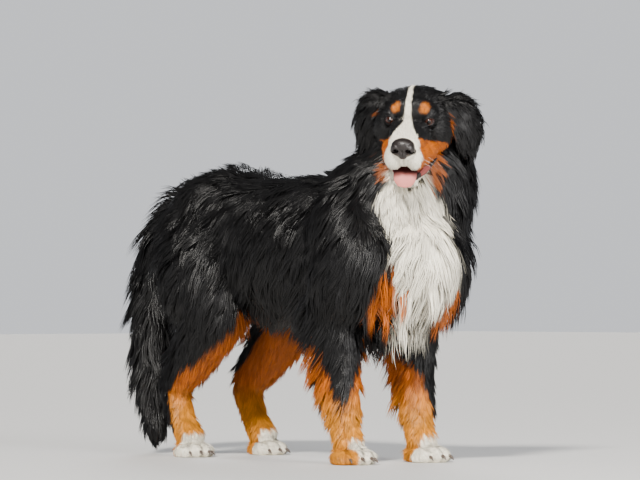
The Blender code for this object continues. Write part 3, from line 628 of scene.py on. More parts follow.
def paintMarkings(points, normals, onSkin=True):
    rough = wobble(points)
    x, y, z = points.T
    head = moved(points, headMatrix().inverted())
    hx, hy, hz = head.T
    jaw = moved(points, jawMatrix().inverted())
    tilt = (normals @ np.array(headMatrix().to_3x3()))[:, 2]
    colour = np.tile(markings["black"], (len(points), 1))

    def lay(name, amount):
        colour[:] += (np.array(markings[name]) - colour) * np.clip(np.asarray(amount, float), 0, 1)[:, None]

    onHead = (hy < 4.5) & (hz > -9.5) & (np.abs(hx) < 8.6) & (hy > -19)
    # legs: rust below, a black point down the front of each, white toes
    for kind, low, high in (("fore", -45, -5), ("hind", 12, 45)):
        middle, reach = markings[kind + "Black"]
        heights, widths = np.array(reach, float).T
        for side in (-1, 1):
            own = (x * side > 4.5) & (y > low) & (y < high) & (z < 36)
            facing = (legFacing(points, kind, side) - middle + 180) % 360 - 180
            edge = np.interp(z + 2.0 * rough + 4.0 * (kind == "fore" and side > 0), heights, widths)
            rusty = 1 - smoothstep(-9, 9, edge - np.abs(facing))
            top = 31 if kind == "fore" else 34
            lay("rust", rusty * own * (1 - smoothstep(top - 2, top + 1, z + rough)))
            lay("gold", rusty * own * (1 - smoothstep(9, 19, z + rough)) * 0.8)
            toes = moved(points, pawMatrix(kind, side).inverted())
            brim = -1.6 if kind == "fore" else -1.2
            white = (1 - smoothstep(brim - 0.4, brim + 0.4, toes[:, 1] + 0.25 * toes[:, 2] - 0.6 + 0.5 * rough)) * own
            if (kind, side) == ("fore", -1):
                white = white * smoothstep(-2.2, -1.4, toes[:, 0])
            lay("white", white * (1 - smoothstep(5.0, 6.2, z + rough)))
    # flank folds
    for side in (-1, 1):
        lay("rust", inBall(points + rough[:, None] * 0.6, (9.0 * side, 17.5, 29.0), (4.0, 5.0, 5.5)))
        lay("rust", inBall(points + rough[:, None] * 0.5, (9.0 * side, -33.3, 35.8), (4.0, 5.4, 6.0)) * (y < -23))
    # bib, from the chin to between the forelegs
    turn = math.radians(markings["bibTurn"])
    across = math.cos(turn) * x - math.sin(turn) * y
    front = math.sin(turn) * x + math.cos(turn) * y
    rows = np.array(sorted(markings["bib"]), float)
    left, right = np.interp(z, rows[:, 0], rows[:, 1]), np.interp(z, rows[:, 0], rows[:, 2])
    inside = smoothstep(-0.7, 0.7, across - left + rough) * smoothstep(-0.7, 0.7, right - across + rough)
    inside *= 1 - smoothstep(6.5, 7.5, np.abs(x) + rough) * (z < 36)
    facingOut = 1 - smoothstep(-20, -17, front)
    throat = (z > 56) & ~onHead
    widthHere = np.where(across > (left + right) / 2, np.interp(z, [58, 61, 66], [1.0, 2.4, 4.2]), 2.6)
    strip = smoothstep(-0.6, 0.6, across - left + widthHere + rough)
    strip *= smoothstep(-0.6, 0.6, right + widthHere - across + rough)
    edges = ((across > right) & (z > 61)) | ((across < left) & (z > 62.5))
    lay("rust", 0.7 * strip * throat * facingOut * edges * (1 - smoothstep(68, 71, z)))
    lay("white", inside * facingOut * (z > 20) * (z < 72) * (1 - onHead))
    # head: rust cheeks, brows and ear edges, then the blaze and the white muzzle
    side = np.abs(hx)
    cheekTop = -0.9 - 0.39 * (hy + 13.5) + 0.3 * rough
    rear = np.where(hx > 0, -2.0, -5.6 + 0.25 * (hz + 6))
    cheek = smoothstep(0.3, -0.3, hz - cheekTop) * smoothstep(2.3, 3.0, side) * smoothstep(0.4, -0.4, hy - rear + 0.5 * rough)
    lay("rust", cheek * onHead)
    spot, radii = markings["brow"]
    mirrored = np.stack([side, hy, hz], axis=1)
    brows = inBall(mirrored + 0.25 * rough[:, None], spot, radii, 0.45) * (hz > 1.5)
    lay("rust", brows)
    lay("gold", brows * 0.2)
    trail = smoothPath([(*spot, 0) for spot in markings["earEdge"]], 6)[:, :3]
    trail = np.vstack([trail, [markings["earSpot"]]])
    near = np.linalg.norm(head[:, None] - trail[None], axis=2).min(axis=1)
    lay("rust", 0.7 * (1 - smoothstep(0.2, 0.6, near + 0.4 * rough)))
    along, widths = np.array(markings["blaze"], float).T
    half = np.interp(hy + 0.35 * rough, along, widths)
    lean = np.interp(hy, *np.array(markings["blazeLean"], float).T)
    top = smoothstep(-0.2, 0.2, half - np.abs(hx - lean) + 0.2 * rough) * (hz > -3.5 - 0.4 * (hy + 15)) * (hy < 4)
    muzzleRear = np.where(hx > 0, -13.9, -13.2)
    muzzle = smoothstep(0.35, -0.35, hy - muzzleRear - 0.2 * (hz + 0.8) + 0.5 * rough) * (hy < -10)
    muzzle = np.maximum(muzzle, (side < 2.8 + 0.3 * rough) * (hy < -12.6) * (hz > -9.5))
    lay("white", np.maximum(top * (hz > -2.5), muzzle) * onHead)
    lay("white", inBall(jaw, (0, -11, -9.2), (4.9, 6.4, 4.4)) * (hz < -7.5))
    if not onSkin:
        return np.clip(colour, 0, 1)
    # the leather's surroundings, the lips, and the inside of the mouth
    lay("lip", inBall(head, (0, -16.0, -2.9), (2.5, 2.2, 1.7), 0.1))
    zone, edge = mouthZones(head, jaw, tilt)
    lay("lip", zone > 0)
    lay("mouth", (zone == 1) & (side < 3.4) & (hy > -13))
    lay("gum", zone == 2)
    lay("lip", np.exp(-((edge / 0.22) ** 2)) * (zone != 2) * (hy > -15.5))
    return np.clip(colour, 0, 1)


def mouthZones(head, jaw, tilt):
    # 0 coat, 1 roof and floor of the mouth, 2 the gum inside the lower lip, 3 the lower lip's dark edge;
    # and the height over the upper lip's edge, which rises towards the corner of the mouth
    hx, hy, hz = head.T
    side = np.abs(hx)
    lipLine = np.interp(hy, [-16, -14.5, -12.5, -10.0, -7.0, -5.6], [-7.2, -7.9, -8.1, -8.1, -7.3, -6.4])
    edge = np.where((hy > -16.2) & (hy < -5.6) & (side < 6.4), hz - lipLine, 9.0)
    inMouth = (hy > -17) & (hy < -4.5) & (side < 6) & (hz < -4.2) & (jaw[:, 2] > -6.6)
    zone = np.zeros(len(head))
    front = hy < -12.5
    zone[inMouth & (tilt < np.where(front, -0.75, -0.45)) & (edge < np.where(front, 0.7, 1.6))] = 1
    lower = inMouth & (edge < -0.15)
    zone[lower & (tilt > 0.25)] = 1
    trail = smoothPath(headForm["flew"], 6)
    reach = np.linalg.norm((head[:, None] - trail[None, :, :3]) / (trail[None, :, 4:5] + 0.3), axis=2)
    nearest = reach.argmin(axis=1)
    onFlew = (reach.min(axis=1) < 1) & (edge < 0)
    below = hz - trail[nearest, 2] < -0.55 * trail[nearest, 4]
    zone[onFlew] = 3
    showing = (trail[nearest, 1] > -11.8) & (trail[nearest, 1] < -9.0)
    zone[onFlew & ~below & showing] = 2
    return zone, edge


def setColours(made, name, colours):
    layer = made.data.color_attributes.new(name, "FLOAT_COLOR", "POINT")
    layer.data.foreach_set("color", np.hstack([colours, np.ones((len(colours), 1))]).astype(np.float32).ravel())


# combing: at each place the way the coat lies, its length, how far it lifts in degrees, and its wave
# place, lie, length, lift, wave; each has a twin on the other side
combing = {
    "withers": ((0, -13, 63), (0.4, 1, -0.35), 6.5, 18, 0.8),
    "back": ((0, 3, 63), (0.5, 1, -0.35), 6.0, 14, 0.7),
    "loin": ((0, 18, 64), (0.5, 1, -0.3), 6.5, 18, 1.3),
    "rump": ((0, 31, 65), (0.4, 1, -0.3), 7.0, 26, 2.0),
    "tailHead": ((0, 41, 62), (0.3, 1, -0.5), 8.0, 25, 1.5),
    "backSide": ((9, 0, 60), (0.8, 0.4, -0.9), 7.5, 14, 0.9),
    "loinSide": ((9, 18, 60), (0.7, 0.45, -0.9), 7.5, 14, 1.4),
    "rumpSide": ((9, 32, 59), (0.6, 0.6, -0.8), 7.5, 18, 2.2),
    "flank": ((14, 3, 50), (0, 0.35, -1), 8.0, 10, 1.1),
    "lowFlank": ((12, 3, 39), (0, 0.3, -1), 9.5, 13, 1.0),
    "loinFlank": ((13, 17, 50), (0, 0.45, -1), 8.0, 11, 1.0),
    "belly": ((0, 3, 34), (0, 0.9, -0.4), 9.0, 42, 0.8),
    "groin": ((5, 18, 38), (0, 0.9, -0.5), 7.5, 32, 0.8),
    "brisket": ((0, -20, 32), (0, 0.5, -1), 11.0, 50, 0.7),
    "brisketFront": ((0, -31, 33), (0, 0.2, -1), 11.5, 68, 0.9),
    "brisketSide": ((4.8, -29, 34), (0, 0.2, -1), 10.5, 60, 0.8),
    "nape": ((0, -24, 70), (0.2, 0.7, -0.9), 8.0, 20, 0.8),
    "neckSide": ((13, -27, 65), (0.1, 0.3, -1), 9.0, 17, 1.1),
    "neckBase": ((13, -22, 56), (0, 0.3, -1), 8.5, 12, 1.1),
    "throat": ((-8, -40, 62), (0, -0.1, -1), 7.5, 20, 1.0),
    "throatRight": ((6, -40, 62), (0, -0.1, -1), 7.5, 20, 1.0),
    "chest": ((0, -43, 50), (0, 0.1, -1), 8.5, 18, 1.0),
    "lowChest": ((0, -38, 38), (0, 0.6, -1), 9.5, 26, 0.8),
    "chestSide": ((10, -36, 47), (0.2, 0.3, -1), 7.5, 12, 1.0),
    "shoulder": ((17, -20, 48), (0, 0.35, -1), 7.0, 8, 1.0),
    "upperArm": ((17, -22, 38), (0, 0.4, -1), 6.0, 9, 0.9),
    "elbow": ((13, -13, 35), (0, 0.8, -1), 9.0, 30, 0.8),
    "armFront": ((11.5, -28, 30), (0.1, 0.1, -1), 4.2, 14, 0.5),
    "foreFront": ((11, -26, 20), (0, 0.1, -1), 3.0, 14, 0.3),
    "foreSide": ((15, -21, 22), (0, 0.4, -1), 4.2, 16, 0.4),
    "foreInner": ((7, -21, 22), (0, 0.4, -1), 4.0, 16, 0.4),
    "feather": ((11, -16, 26), (0, 0.8, -1), 9.0, 34, 0.7),
    "featherLow": ((10.8, -18.5, 16), (0, 0.7, -1), 6.5, 34, 0.6),
    "wrist": ((10.5, -24, 8), (0, 0.1, -1), 2.4, 14, 0.1),
    "forePaw": ((10.5, -30, 3), (0, -1, -0.5), 1.2, 8, 0.0),
    "forePad": ((10.5, -21, 4), (0, 0.5, -1), 2.2, 18, 0.1),
    "thigh": ((17, 25, 46), (0, 0.4, -1), 7.0, 14, 1.5),
    "lowThigh": ((16, 21, 35), (0, 0.5, -1), 6.5, 14, 1.0),
    "breech": ((11, 38, 46), (0.1, 0.6, -1), 9.0, 28, 0.8),
    "breechLow": ((11, 35, 34), (0, 0.6, -1), 8.0, 28, 0.8),
    "innerThigh": ((5, 24, 36), (0, 0.5, -1), 4.5, 14, 0.5),
    "shankFront": ((11.2, 21, 28), (0, 0.5, -1), 4.2, 14, 0.5),
    "shankSide": ((15, 28, 26), (0, 0.6, -1), 4.6, 14, 0.6),
    "shankRear": ((11, 34, 27), (0, 0.5, -1), 6.5, 24, 0.6),
    "hockFront": ((10.7, 32.5, 15), (0, 0.1, -1), 2.8, 14, 0.2),
    "hockRear": ((10.7, 39, 14), (0, -0.1, -1), 3.0, 16, 0.2),
    "pastern": ((10.6, 32, 8), (0, -0.1, -1), 2.3, 14, 0.1),
    "hindPaw": ((10.5, 26, 3), (0, -1, -0.5), 1.2, 8, 0.0),
    "hindPad": ((10.5, 34, 4), (0, 0.4, -1), 1.8, 16, 0.1),
    "tailTop": ((0, 48, 58), (0, 0.9, -0.9), 9.0, 30, 0.7),
    "tailUpper": ((-0.6, 53.5, 49), (0, 0.25, -1), 9.5, 20, 0.9),
    "tailMiddle": ((-1.3, 56, 36), (0, 0.1, -1), 9.5, 20, 0.8),
    "tailLow": ((-2.2, 56, 22), (0, 0, -1), 9.0, 22, 0.7),
    "tailTip": ((-3.1, 54, 9), (0, -0.1, -1), 5.0, 18, 0.4),
}
# the same in the head's frame
headCombing = {
    "noseBridge": ((0, -12, 0.2), (0, 1, 0.15), 0.7, 6, 0),
    "muzzleSide": ((3.8, -11.5, -3.5), (0.1, 1, -0.5), 0.9, 8, 0),
    "upperLip": ((3.2, -12.5, -7.4), (0.1, 0.6, -1), 0.9, 8, 0),
    "lipFront": ((1.2, -15.5, -6), (0.5, 0.3, -1), 0.6, 6, 0),
    "stop": ((0, -6.5, 2.5), (0, 1, 0.6), 0.9, 8, 0),
    "brow": ((3.3, -6, 3.5), (0.3, 1, 0.6), 0.8, 8, 0),
    "forehead": ((0, -2.5, 5), (0.1, 1, 0.15), 1.3, 8, 0.1),
    "temple": ((5.5, -3, 3), (0.5, 1, -0.1), 1.4, 8, 0.1),
    "crown": ((0, 3, 6), (0.4, 1, -0.1), 2.2, 12, 0.3),
    "occiput": ((0, 8, 4), (0.2, 0.8, -0.8), 4.5, 20, 0.6),
    "underEye": ((5, -6.5, -2), (0.6, 0.9, -0.4), 1.0, 8, 0),
    "cheek": ((7.6, -2, -3), (0.3, 0.9, -0.7), 2.2, 10, 0.2),
    "jowl": ((5.6, -5, -8), (0.2, 0.7, -1), 2.2, 12, 0.2),
    "jawSide": ((3.2, -9, -11), (0.1, 0.9, -0.6), 1.6, 10, 0.1),
    "chin": ((0, -12, -12.5), (0, 0.8, -0.6), 1.8, 14, 0.1),
    "throatTop": ((0, -3, -13), (0, 0.6, -1), 4.5, 18, 0.6),
    "neckUnder": ((6.5, 1, -9), (0.2, 0.5, -1), 5.5, 20, 0.6),
    "earBase": ((6.5, 2.4, 5.8), (1, 0.3, -0.5), 3.8, 15, 1.2),
    "earTop": ((9.5, 1.5, 4), (0.8, 0.1, -1), 4.8, 14, 1.5),
    "earOuter": ((11.8, 1, -1.5), (0.2, 0.1, -1), 5.4, 13, 1.8),
    "earLow": ((12, 2, -6), (0.1, 0.1, -1), 5.6, 12, 1.8),
    "earBack": ((10, 5, -2), (0.1, 0.3, -1), 5.0, 15, 1.5),
    "earFront": ((9, -1.5, -2), (0.1, -0.1, -1), 3.0, 12, 0.8),
    "earFrontTop": ((6.6, -0.8, 3.2), (0.6, -0.3, -1), 2.4, 12, 0.6),
    "earInner": ((8.5, 2, -4), (0, 0, -1), 1.5, 8, 0.2),
}


def combRows():
    rows = []
    turn = headMatrix()
    for book, place in ((combing, None), (headCombing, turn)):
        for spot, lie, length, lift, wave in book.values():
            for side in (1, -1) if spot[0] else (1,):
                at = Vector((spot[0] * side, *spot[1:]))
                way = Vector((lie[0] * side, *lie[1:]))
                if place:
                    at, way = place @ at, place.to_3x3() @ way
                rows.append((*at, *way.normalized(), length, lift, wave))
    return np.array(rows)


def combAt(points):
    # the nearest few places share each point, by how close they are
    rows = combRows()
    out = np.empty((len(points), 6))
    for start in range(0, len(points), 20000):
        some = points[start : start + 20000]
        distance = np.linalg.norm(some[:, None] - rows[None, :, :3], axis=2)
        nearest = distance.min(axis=1, keepdims=True)
        share = np.exp(-((distance - nearest) ** 2) / (2 * (0.35 * nearest + 0.6) ** 2))
        share /= share.sum(axis=1, keepdims=True)
        out[start : start + 20000] = share @ rows[:, 3:]
    return out


# coat: locks of thin tapered tufts, each rooted on the skin
coatForm = {
    "lockRoom": 0.3,  # a lock's share of the coat's length there
    "gather": 0.66,  # how far tufts close on their lock's middle at the tip
    "thickness": 0.34,  # of a tuft's width
    "sink": 0.15,
    "sheenShare": 0.6,
    "over": 0.9,  # how far a tip may stand out past the frame's sides
    "paintAt": 3,  # of the six steps along a tuft
    "cover": 4.4,  # tufts over each spot of long coat
    "coverShort": 2.6,
    "long": 3.6,
    "short": 1.5,
}


def tuftWidth(length):
    return np.interp(length, [0.6, 1.2, 2.5, 5, 9], [0.1, 0.14, 0.18, 0.26, 0.33])


def trianglesOf(made):
    made.data.calc_loop_triangles()
    count = len(made.data.loop_triangles)
    corners, loops = np.empty(count * 3, int), np.empty(count * 3, int)
    made.data.loop_triangles.foreach_get("vertices", corners)
    made.data.loop_triangles.foreach_get("loops", loops)
    return corners.reshape(-1, 3), loops.reshape(-1, 3)


def rootsOn(made, count, weights):
    points = pointsOf(made)
    corners, loops = trianglesOf(made)
    a, b, c = points[corners[:, 0]], points[corners[:, 1]], points[corners[:, 2]]
    normal = np.cross(b - a, c - a)
    area = np.linalg.norm(normal, axis=1) / 2
    odds = area * weights((a + b + c) / 3, unit(normal))
    total = odds.sum()
    number = int(total) if count is None else count
    pick = dice.choice(len(area), number, p=odds / total)
    u, v = np.sort(dice.random((2, number)), axis=0)
    share = np.stack([u, v - u, 1 - v], axis=1)
    spots = np.einsum("nk,nkd->nd", share, points[corners[pick]])
    soft = normalsOf(made)
    normals = unit(np.einsum("nk,nkd->nd", share, soft[corners[pick]]))
    flat = np.empty(len(made.data.loops) * 2)
    made.data.uv_layers["OFBake"].data.foreach_get("uv", flat)
    uv = np.einsum("nk,nkd->nd", share, flat.reshape(-1, 2)[loops[pick]])
    return spots, normals, uv


def thinned(spots, rooms):
    tree = KDTree(len(spots))
    for i, spot in enumerate(spots):
        tree.insert(spot, i)
    tree.balance()
    free = np.ones(len(spots), bool)
    kept = []
    for i, spot in enumerate(spots):
        if free[i]:
            kept.append(i)
            for _, j, _ in tree.find_range(spot, rooms[i]):
                free[j] = False
    return np.array(kept)


steps = 6


def lockPaths(made, spots, normals, comb):
    # each lock's own line: along the lie and up from the skin, kept within the coat's depth
    work = bmesh.new()
    work.from_mesh(made.data)
    tree = BVHTree.FromBMesh(work)
    work.free()
    paths = np.empty((len(spots), steps + 1, 3))
    phase = dice.random(len(spots)) * 2 * math.pi
    down = Vector((0, 0, -1))
    for i in range(len(spots)):
        length, lift, wave = comb[i, 3:]
        normal = Vector(normals[i])
        at = Vector(spots[i])
        way = Vector(comb[i, :3])
        rise = math.radians(lift * dice.uniform(0.35, 1.5))
        most = length * math.sin(rise) + 0.25
        paths[i, 0] = at - normal * coatForm["sink"]
        for k in range(1, steps + 1):
            s = k / steps
            heading = way - normal * way.dot(normal)
            if heading.length < 0.1:
                heading = down - normal * down.dot(normal)
            heading.normalize()
            step = heading * math.cos(rise) + normal * math.sin(rise)
            step += down * (0.25 * s * (length > 4))
            at = at + step.normalized() * (length / steps)
            near, facing, _, _ = tree.find_nearest(Vector(at) * cm + shift)
            near = (near - shift) / cm
            height = (at - near).dot(facing)
            floor = 0.12 + 0.1 * length * s * 0.5
            if height < floor:
                at = near + facing * floor
            elif height > most:
                at = at - facing * (height - most) * 0.6
            if (at - near).length < 2.5:
                normal = facing
            across = step.cross(normal).normalized()
            swing = math.sin(phase[i] + 2 * math.pi * s * (0.35 + 0.035 * length))
            place = at + across * (wave * 0.13 * length * swing * s**0.8)
            paths[i, k] = place
    return paths, tree


def frames(normals, lies):
    lies = unit(lies - (lies * normals).sum(axis=1, keepdims=True) * normals)
    return np.stack([lies, np.cross(normals, lies), normals], axis=2)


def tuftPaths(spots, normals, comb, lockSpots, lockNormals, lockComb, paths):
    tree = KDTree(len(lockSpots))
    for i, spot in enumerate(lockSpots):
        tree.insert(spot, i)
    tree.balance()
    own = np.array([tree.find(spot)[1] for spot in spots])
    turn = frames(normals, comb[:, :3]) @ np.transpose(frames(lockNormals, lockComb[:, :3])[own], (0, 2, 1))
    stretch = dice.uniform(0.75, 1.15, len(spots))
    lead = paths[own] - paths[own, :1]
    mine = np.einsum("nij,nkj->nki", turn, lead) * stretch[:, None, None]
    mine += (spots - normals * coatForm["sink"])[:, None]
    s = (np.arange(steps + 1) / steps)[None, :, None]
    gather = coatForm["gather"] * dice.uniform(0.3, 1.1, len(spots))[:, None, None] * s**1.4
    guide = paths[own, :1] + lead * stretch[:, None, None]
    out = mine * (1 - gather) + guide * gather
    stray = dice.normal(size=(len(spots), 1, 3)) * (0.024 * comb[:, 3])[:, None, None] * s**1.5
    return out + stray, own


def buildTufts(name, paths, normals, widths, colours, uv, parts):
    count, rings = len(paths), parts
    pick = np.linspace(0, steps, rings + 1).round().astype(int)
    line = paths[:, pick]
    ahead = unit(np.gradient(line, axis=1))
    across = unit(np.cross(ahead, normals[:, None]))
    out = np.cross(across, ahead)
    s = np.linspace(0, 1, rings + 1)
    swell = np.interp(s, [0, 0.3, 0.67, 1], [0.75 if rings > 1 else 1.0, 1.0, 0.62, 0])
    half = widths[:, None] * swell[None] / 2
    flat = half * coatForm["thickness"] * 2
    corners = [(0.0, 1.0), (-1.0, -0.5), (1.0, -0.5)]
    wide, high = across[:, :-1] * half[:, :-1, None], out[:, :-1] * flat[:, :-1, None]
    points = np.stack([line[:, :-1] + wide * a + high * b for a, b in corners], axis=2).reshape(count, rings * 3, 3)
    points = np.concatenate([points, line[:, -1:]], axis=1)
    # shading turned towards the coat's own surface, so that the sheen flows over neighbouring tufts
    share = coatForm["sheenShare"]
    bent = [(across[:, :-1] * a + out[:, :-1] * b) * (1 - share) + out[:, :-1] * share for a, b in corners]
    facing = np.stack(bent, axis=2).reshape(count, rings * 3, 3)
    facing = unit(np.concatenate([facing, out[:, -1:]], axis=1))
    faces = [(0, 1, 2)]
    for r in range(rings - 1):
        for k in range(3):
            a, b = r * 3 + k, r * 3 + (k + 1) % 3
            faces += [(b, a, b + 3), (b + 3, a, a + 3)]
    last = (rings - 1) * 3
    faces += [(last + (k + 1) % 3, last + k, rings * 3) for k in range(3)]
    faces = np.array(faces)
    each = rings * 3 + 1
    index = (np.arange(count)[:, None, None] * each + faces[None]).reshape(-1)
    mesh = bpy.data.meshes.new(name)
    mesh.vertices.add(count * each)
    mesh.vertices.foreach_set("co", (points.reshape(-1, 3) * cm + np.array(shift)).astype(np.float32).ravel())
    mesh.loops.add(len(index))
    mesh.loops.foreach_set("vertex_index", index.astype(np.int32))
    mesh.polygons.add(len(index) // 3)
    mesh.polygons.foreach_set("loop_start", np.arange(0, len(index), 3, dtype=np.int32))
    mesh.update(calc_edges=True)
    mesh.shade_smooth()
    mesh.normals_split_custom_set_from_vertices(facing.reshape(-1, 3))
    layer = mesh.uv_layers.new(name="OFBake")
    along = np.concatenate([np.repeat(s[:-1], 3), [1.0]])
    aside = np.concatenate([np.tile([0.5, 0.0, 1.0], rings), [0.5]])
    patch = np.stack([aside, along], axis=1) * 0.003 - 0.0015
    spread = (uv[:, None] + patch[None]).reshape(-1, 2)
    layer.data.foreach_set("uv", spread[index].astype(np.float32).ravel())
    made = bpy.data.objects.new(name, mesh)
    bpy.context.scene.collection.objects.link(made)
    tint = np.repeat(colours, each, axis=0)
    setColours(made, "coatColour", tint)
    return made


def unwrap(made):
    made.data.uv_layers.new(name="OFBake")
    bpy.ops.object.select_all(action="DESELECT")
    made.select_set(True)
    bpy.context.view_layer.objects.active = made
    bpy.ops.object.mode_set(mode="EDIT")
    bpy.ops.mesh.select_all(action="SELECT")
    bpy.ops.uv.smart_project(angle_limit=math.radians(66), island_margin=0.001)
    bpy.ops.object.mode_set(mode="OBJECT")


# where no coat grows: the eyes' openings, the nose, the mouth's inside and the soles
def bare(points, normals):
    local = moved(points, headMatrix().inverted())
    jaw = moved(points, jawMatrix().inverted())
    free = np.ones(len(points))
    for side in (-1, 1):
        opening, _, fromEye = lidOpening(points, side)
        free *= (opening > 1.12) | (np.linalg.norm(fromEye, axis=1) > stance["eyeRadius"] + 0.75)
    free *= ~(np.linalg.norm((local - (0, -15.6, -2.7)) / (2.7, 2.0, 2.2), axis=1) < 1)
    tilt = (normals @ np.array(headMatrix().to_3x3()))[:, 2]
    zone, edge = mouthZones(local, jaw, tilt)
    free *= (zone == 0) & (np.abs(edge) > 0.12)
    free *= ~((points[:, 2] < 0.4) | ((points[:, 2] < 1.5) & (normals[:, 2] < -0.5)))
    return free


def growCoat(made):
    def lockWeights(points, normals):
        comb = combAt(points)
        return bare(points, normals) / (comb[:, 3] * coatForm["lockRoom"]) ** 2 * 4.0

    def tuftWeights(points, normals):
        length = combAt(points)[:, 3]
        long = smoothstep(coatForm["short"], coatForm["long"], length)
        cover = coatForm["coverShort"] * (1 - long) + coatForm["cover"] * long
        return bare(points, normals) * cover / (0.5 * tuftWidth(length) * length)

    spots, normals, _ = rootsOn(made, None, lockWeights)
    comb = combAt(spots)
    kept = thinned(spots, comb[:, 3] * coatForm["lockRoom"])
    lockSpots, lockNormals, lockComb = spots[kept], normals[kept], comb[kept]
    paths, _ = lockPaths(made, lockSpots, lockNormals, lockComb)
    print("locks", len(kept))
    spots, normals, uv = rootsOn(made, None, tuftWeights)
    comb = combAt(spots)
    lines, own = tuftPaths(spots, normals, comb, lockSpots, lockNormals, lockComb, paths)
    lines[:, :, 2] = np.maximum(lines[:, :, 2], 0.15)
    sides = [(corner[0] / cm - shift.x / cm) for corner in cadBox]
    lines[:, :, 0] = np.clip(lines[:, :, 0], sides[0] - coatForm["over"], sides[1] + coatForm["over"])
    tone = dice.uniform(0.8, 1.2, len(kept))[own] * dice.uniform(0.85, 1.15, len(spots))
    # a long tuft takes the marking of the place that it hangs over
    colours = paintMarkings(lines[:, coatForm["paintAt"]], normals, False) * tone[:, None]
    widths = tuftWidth(comb[:, 3]) * dice.uniform(0.75, 1.25, len(spots))
    parts = np.where(comb[:, 3] > coatForm["long"], 3, np.where(comb[:, 3] > coatForm["short"], 2, 1))
    print("tufts", len(spots), "by segments", [(n, int((parts == n).sum())) for n in (1, 2, 3)])
    made = []
    for count in (1, 2, 3):
        chosen = np.flatnonzero(parts == count)
        order = chosen[np.argsort(spots[chosen, 1])]
        pieces = max(1, math.ceil(len(order) * (6 * count - 2) / 190000))
        for number, some in enumerate(np.array_split(order, pieces), 1):
            name = {1: "shortCoat", 2: "middleCoat", 3: "longCoat"}[count] + f"_{number}"
            made.append(buildTufts(name, lines[some], normals[some], widths[some], colours[some], uv[some], count))
    return made


# finishes
def finish(name):
    made = bpy.data.materials.new(name)
    made.use_nodes = True
    tree = made.node_tree
    return made, tree, tree.nodes["Principled BSDF"]


def node(tree, kind, **values):
    made = tree.nodes.new(kind)
    for key, value in values.items():
        if key in made.inputs:
            made.inputs[key].default_value = value
        else:
            setattr(made, key, value)
    return made


coatFinish = {"roughness": 0.36, "specular": 0.28, "fleck": 900.0, "fleckShare": 0.25}


def coatMaterial(name, bumpy):
    made, tree, shader = finish(name)
    paint = node(tree, "ShaderNodeAttribute", attribute_name="coatColour")
    place = node(tree, "ShaderNodeTexCoord")
    fleck = node(tree, "ShaderNodeTexNoise", Scale=coatFinish["fleck"], Detail=2.0)
    span = node(tree, "ShaderNodeMapRange")
    span.inputs["To Min"].default_value = 1 - coatFinish["fleckShare"]
    span.inputs["To Max"].default_value = 1 + coatFinish["fleckShare"]
    mix = node(tree, "ShaderNodeMix", data_type="RGBA", blend_type="MULTIPLY")
    mix.inputs["Factor"].default_value = 1.0
    tree.links.new(place.outputs["Object"], fleck.inputs["Vector"])
    tree.links.new(fleck.outputs["Fac"], span.inputs["Value"])
    tree.links.new(paint.outputs["Color"], mix.inputs["A"])
    tree.links.new(span.outputs["Result"], mix.inputs["B"])
    tree.links.new(mix.outputs["Result"], shader.inputs["Base Color"])
    shader.inputs["Roughness"].default_value = coatFinish["roughness"]
    shader.inputs["Specular IOR Level"].default_value = coatFinish["specular"]
    if bumpy:
        bump = node(tree, "ShaderNodeBump", Strength=0.35, Distance=0.0006)
        tree.links.new(fleck.outputs["Fac"], bump.inputs["Height"])
        tree.links.new(bump.outputs["Normal"], shader.inputs["Normal"])
        shader.inputs["Roughness"].default_value = 0.55
    return made


def wear(made, material, slot, *nodes):
    made.data.materials.clear()
    made.data.materials.append(material)
    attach(made, "root")
    if nodes:
        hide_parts(*nodes)


unwrap(skin)
print("skin unwrapped")
setColours(skin, "coatColour", paintMarkings(pointsOf(skin), normalsOf(skin)))
flesh = [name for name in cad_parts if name.split("_")[0] not in ("eye", "nose", "tongue", "foreclaw", "hindclaw")]
wear(skin, coatMaterial("skinFinish", True), "black_coat", *flesh)
coat = coatMaterial("coatFinish", False)
for piece in growCoat(skin):
    wear(piece, coat, "black_coat")
print("coat grown")

# eyes, nose, tongue and claws
eyeFinish = {
    "pupil": 0.0038,
    "iris": 0.0092,
    "bulge": 0.09,
    "brown": (0.04, 0.009, 0.003),
    "darkBrown": (0.012, 0.004, 0.002),
    "white": (0.03, 0.013, 0.011),
    "rim": (0.004, 0.0035, 0.0035),
    "haw": (0.04, 0.01, 0.009),
}


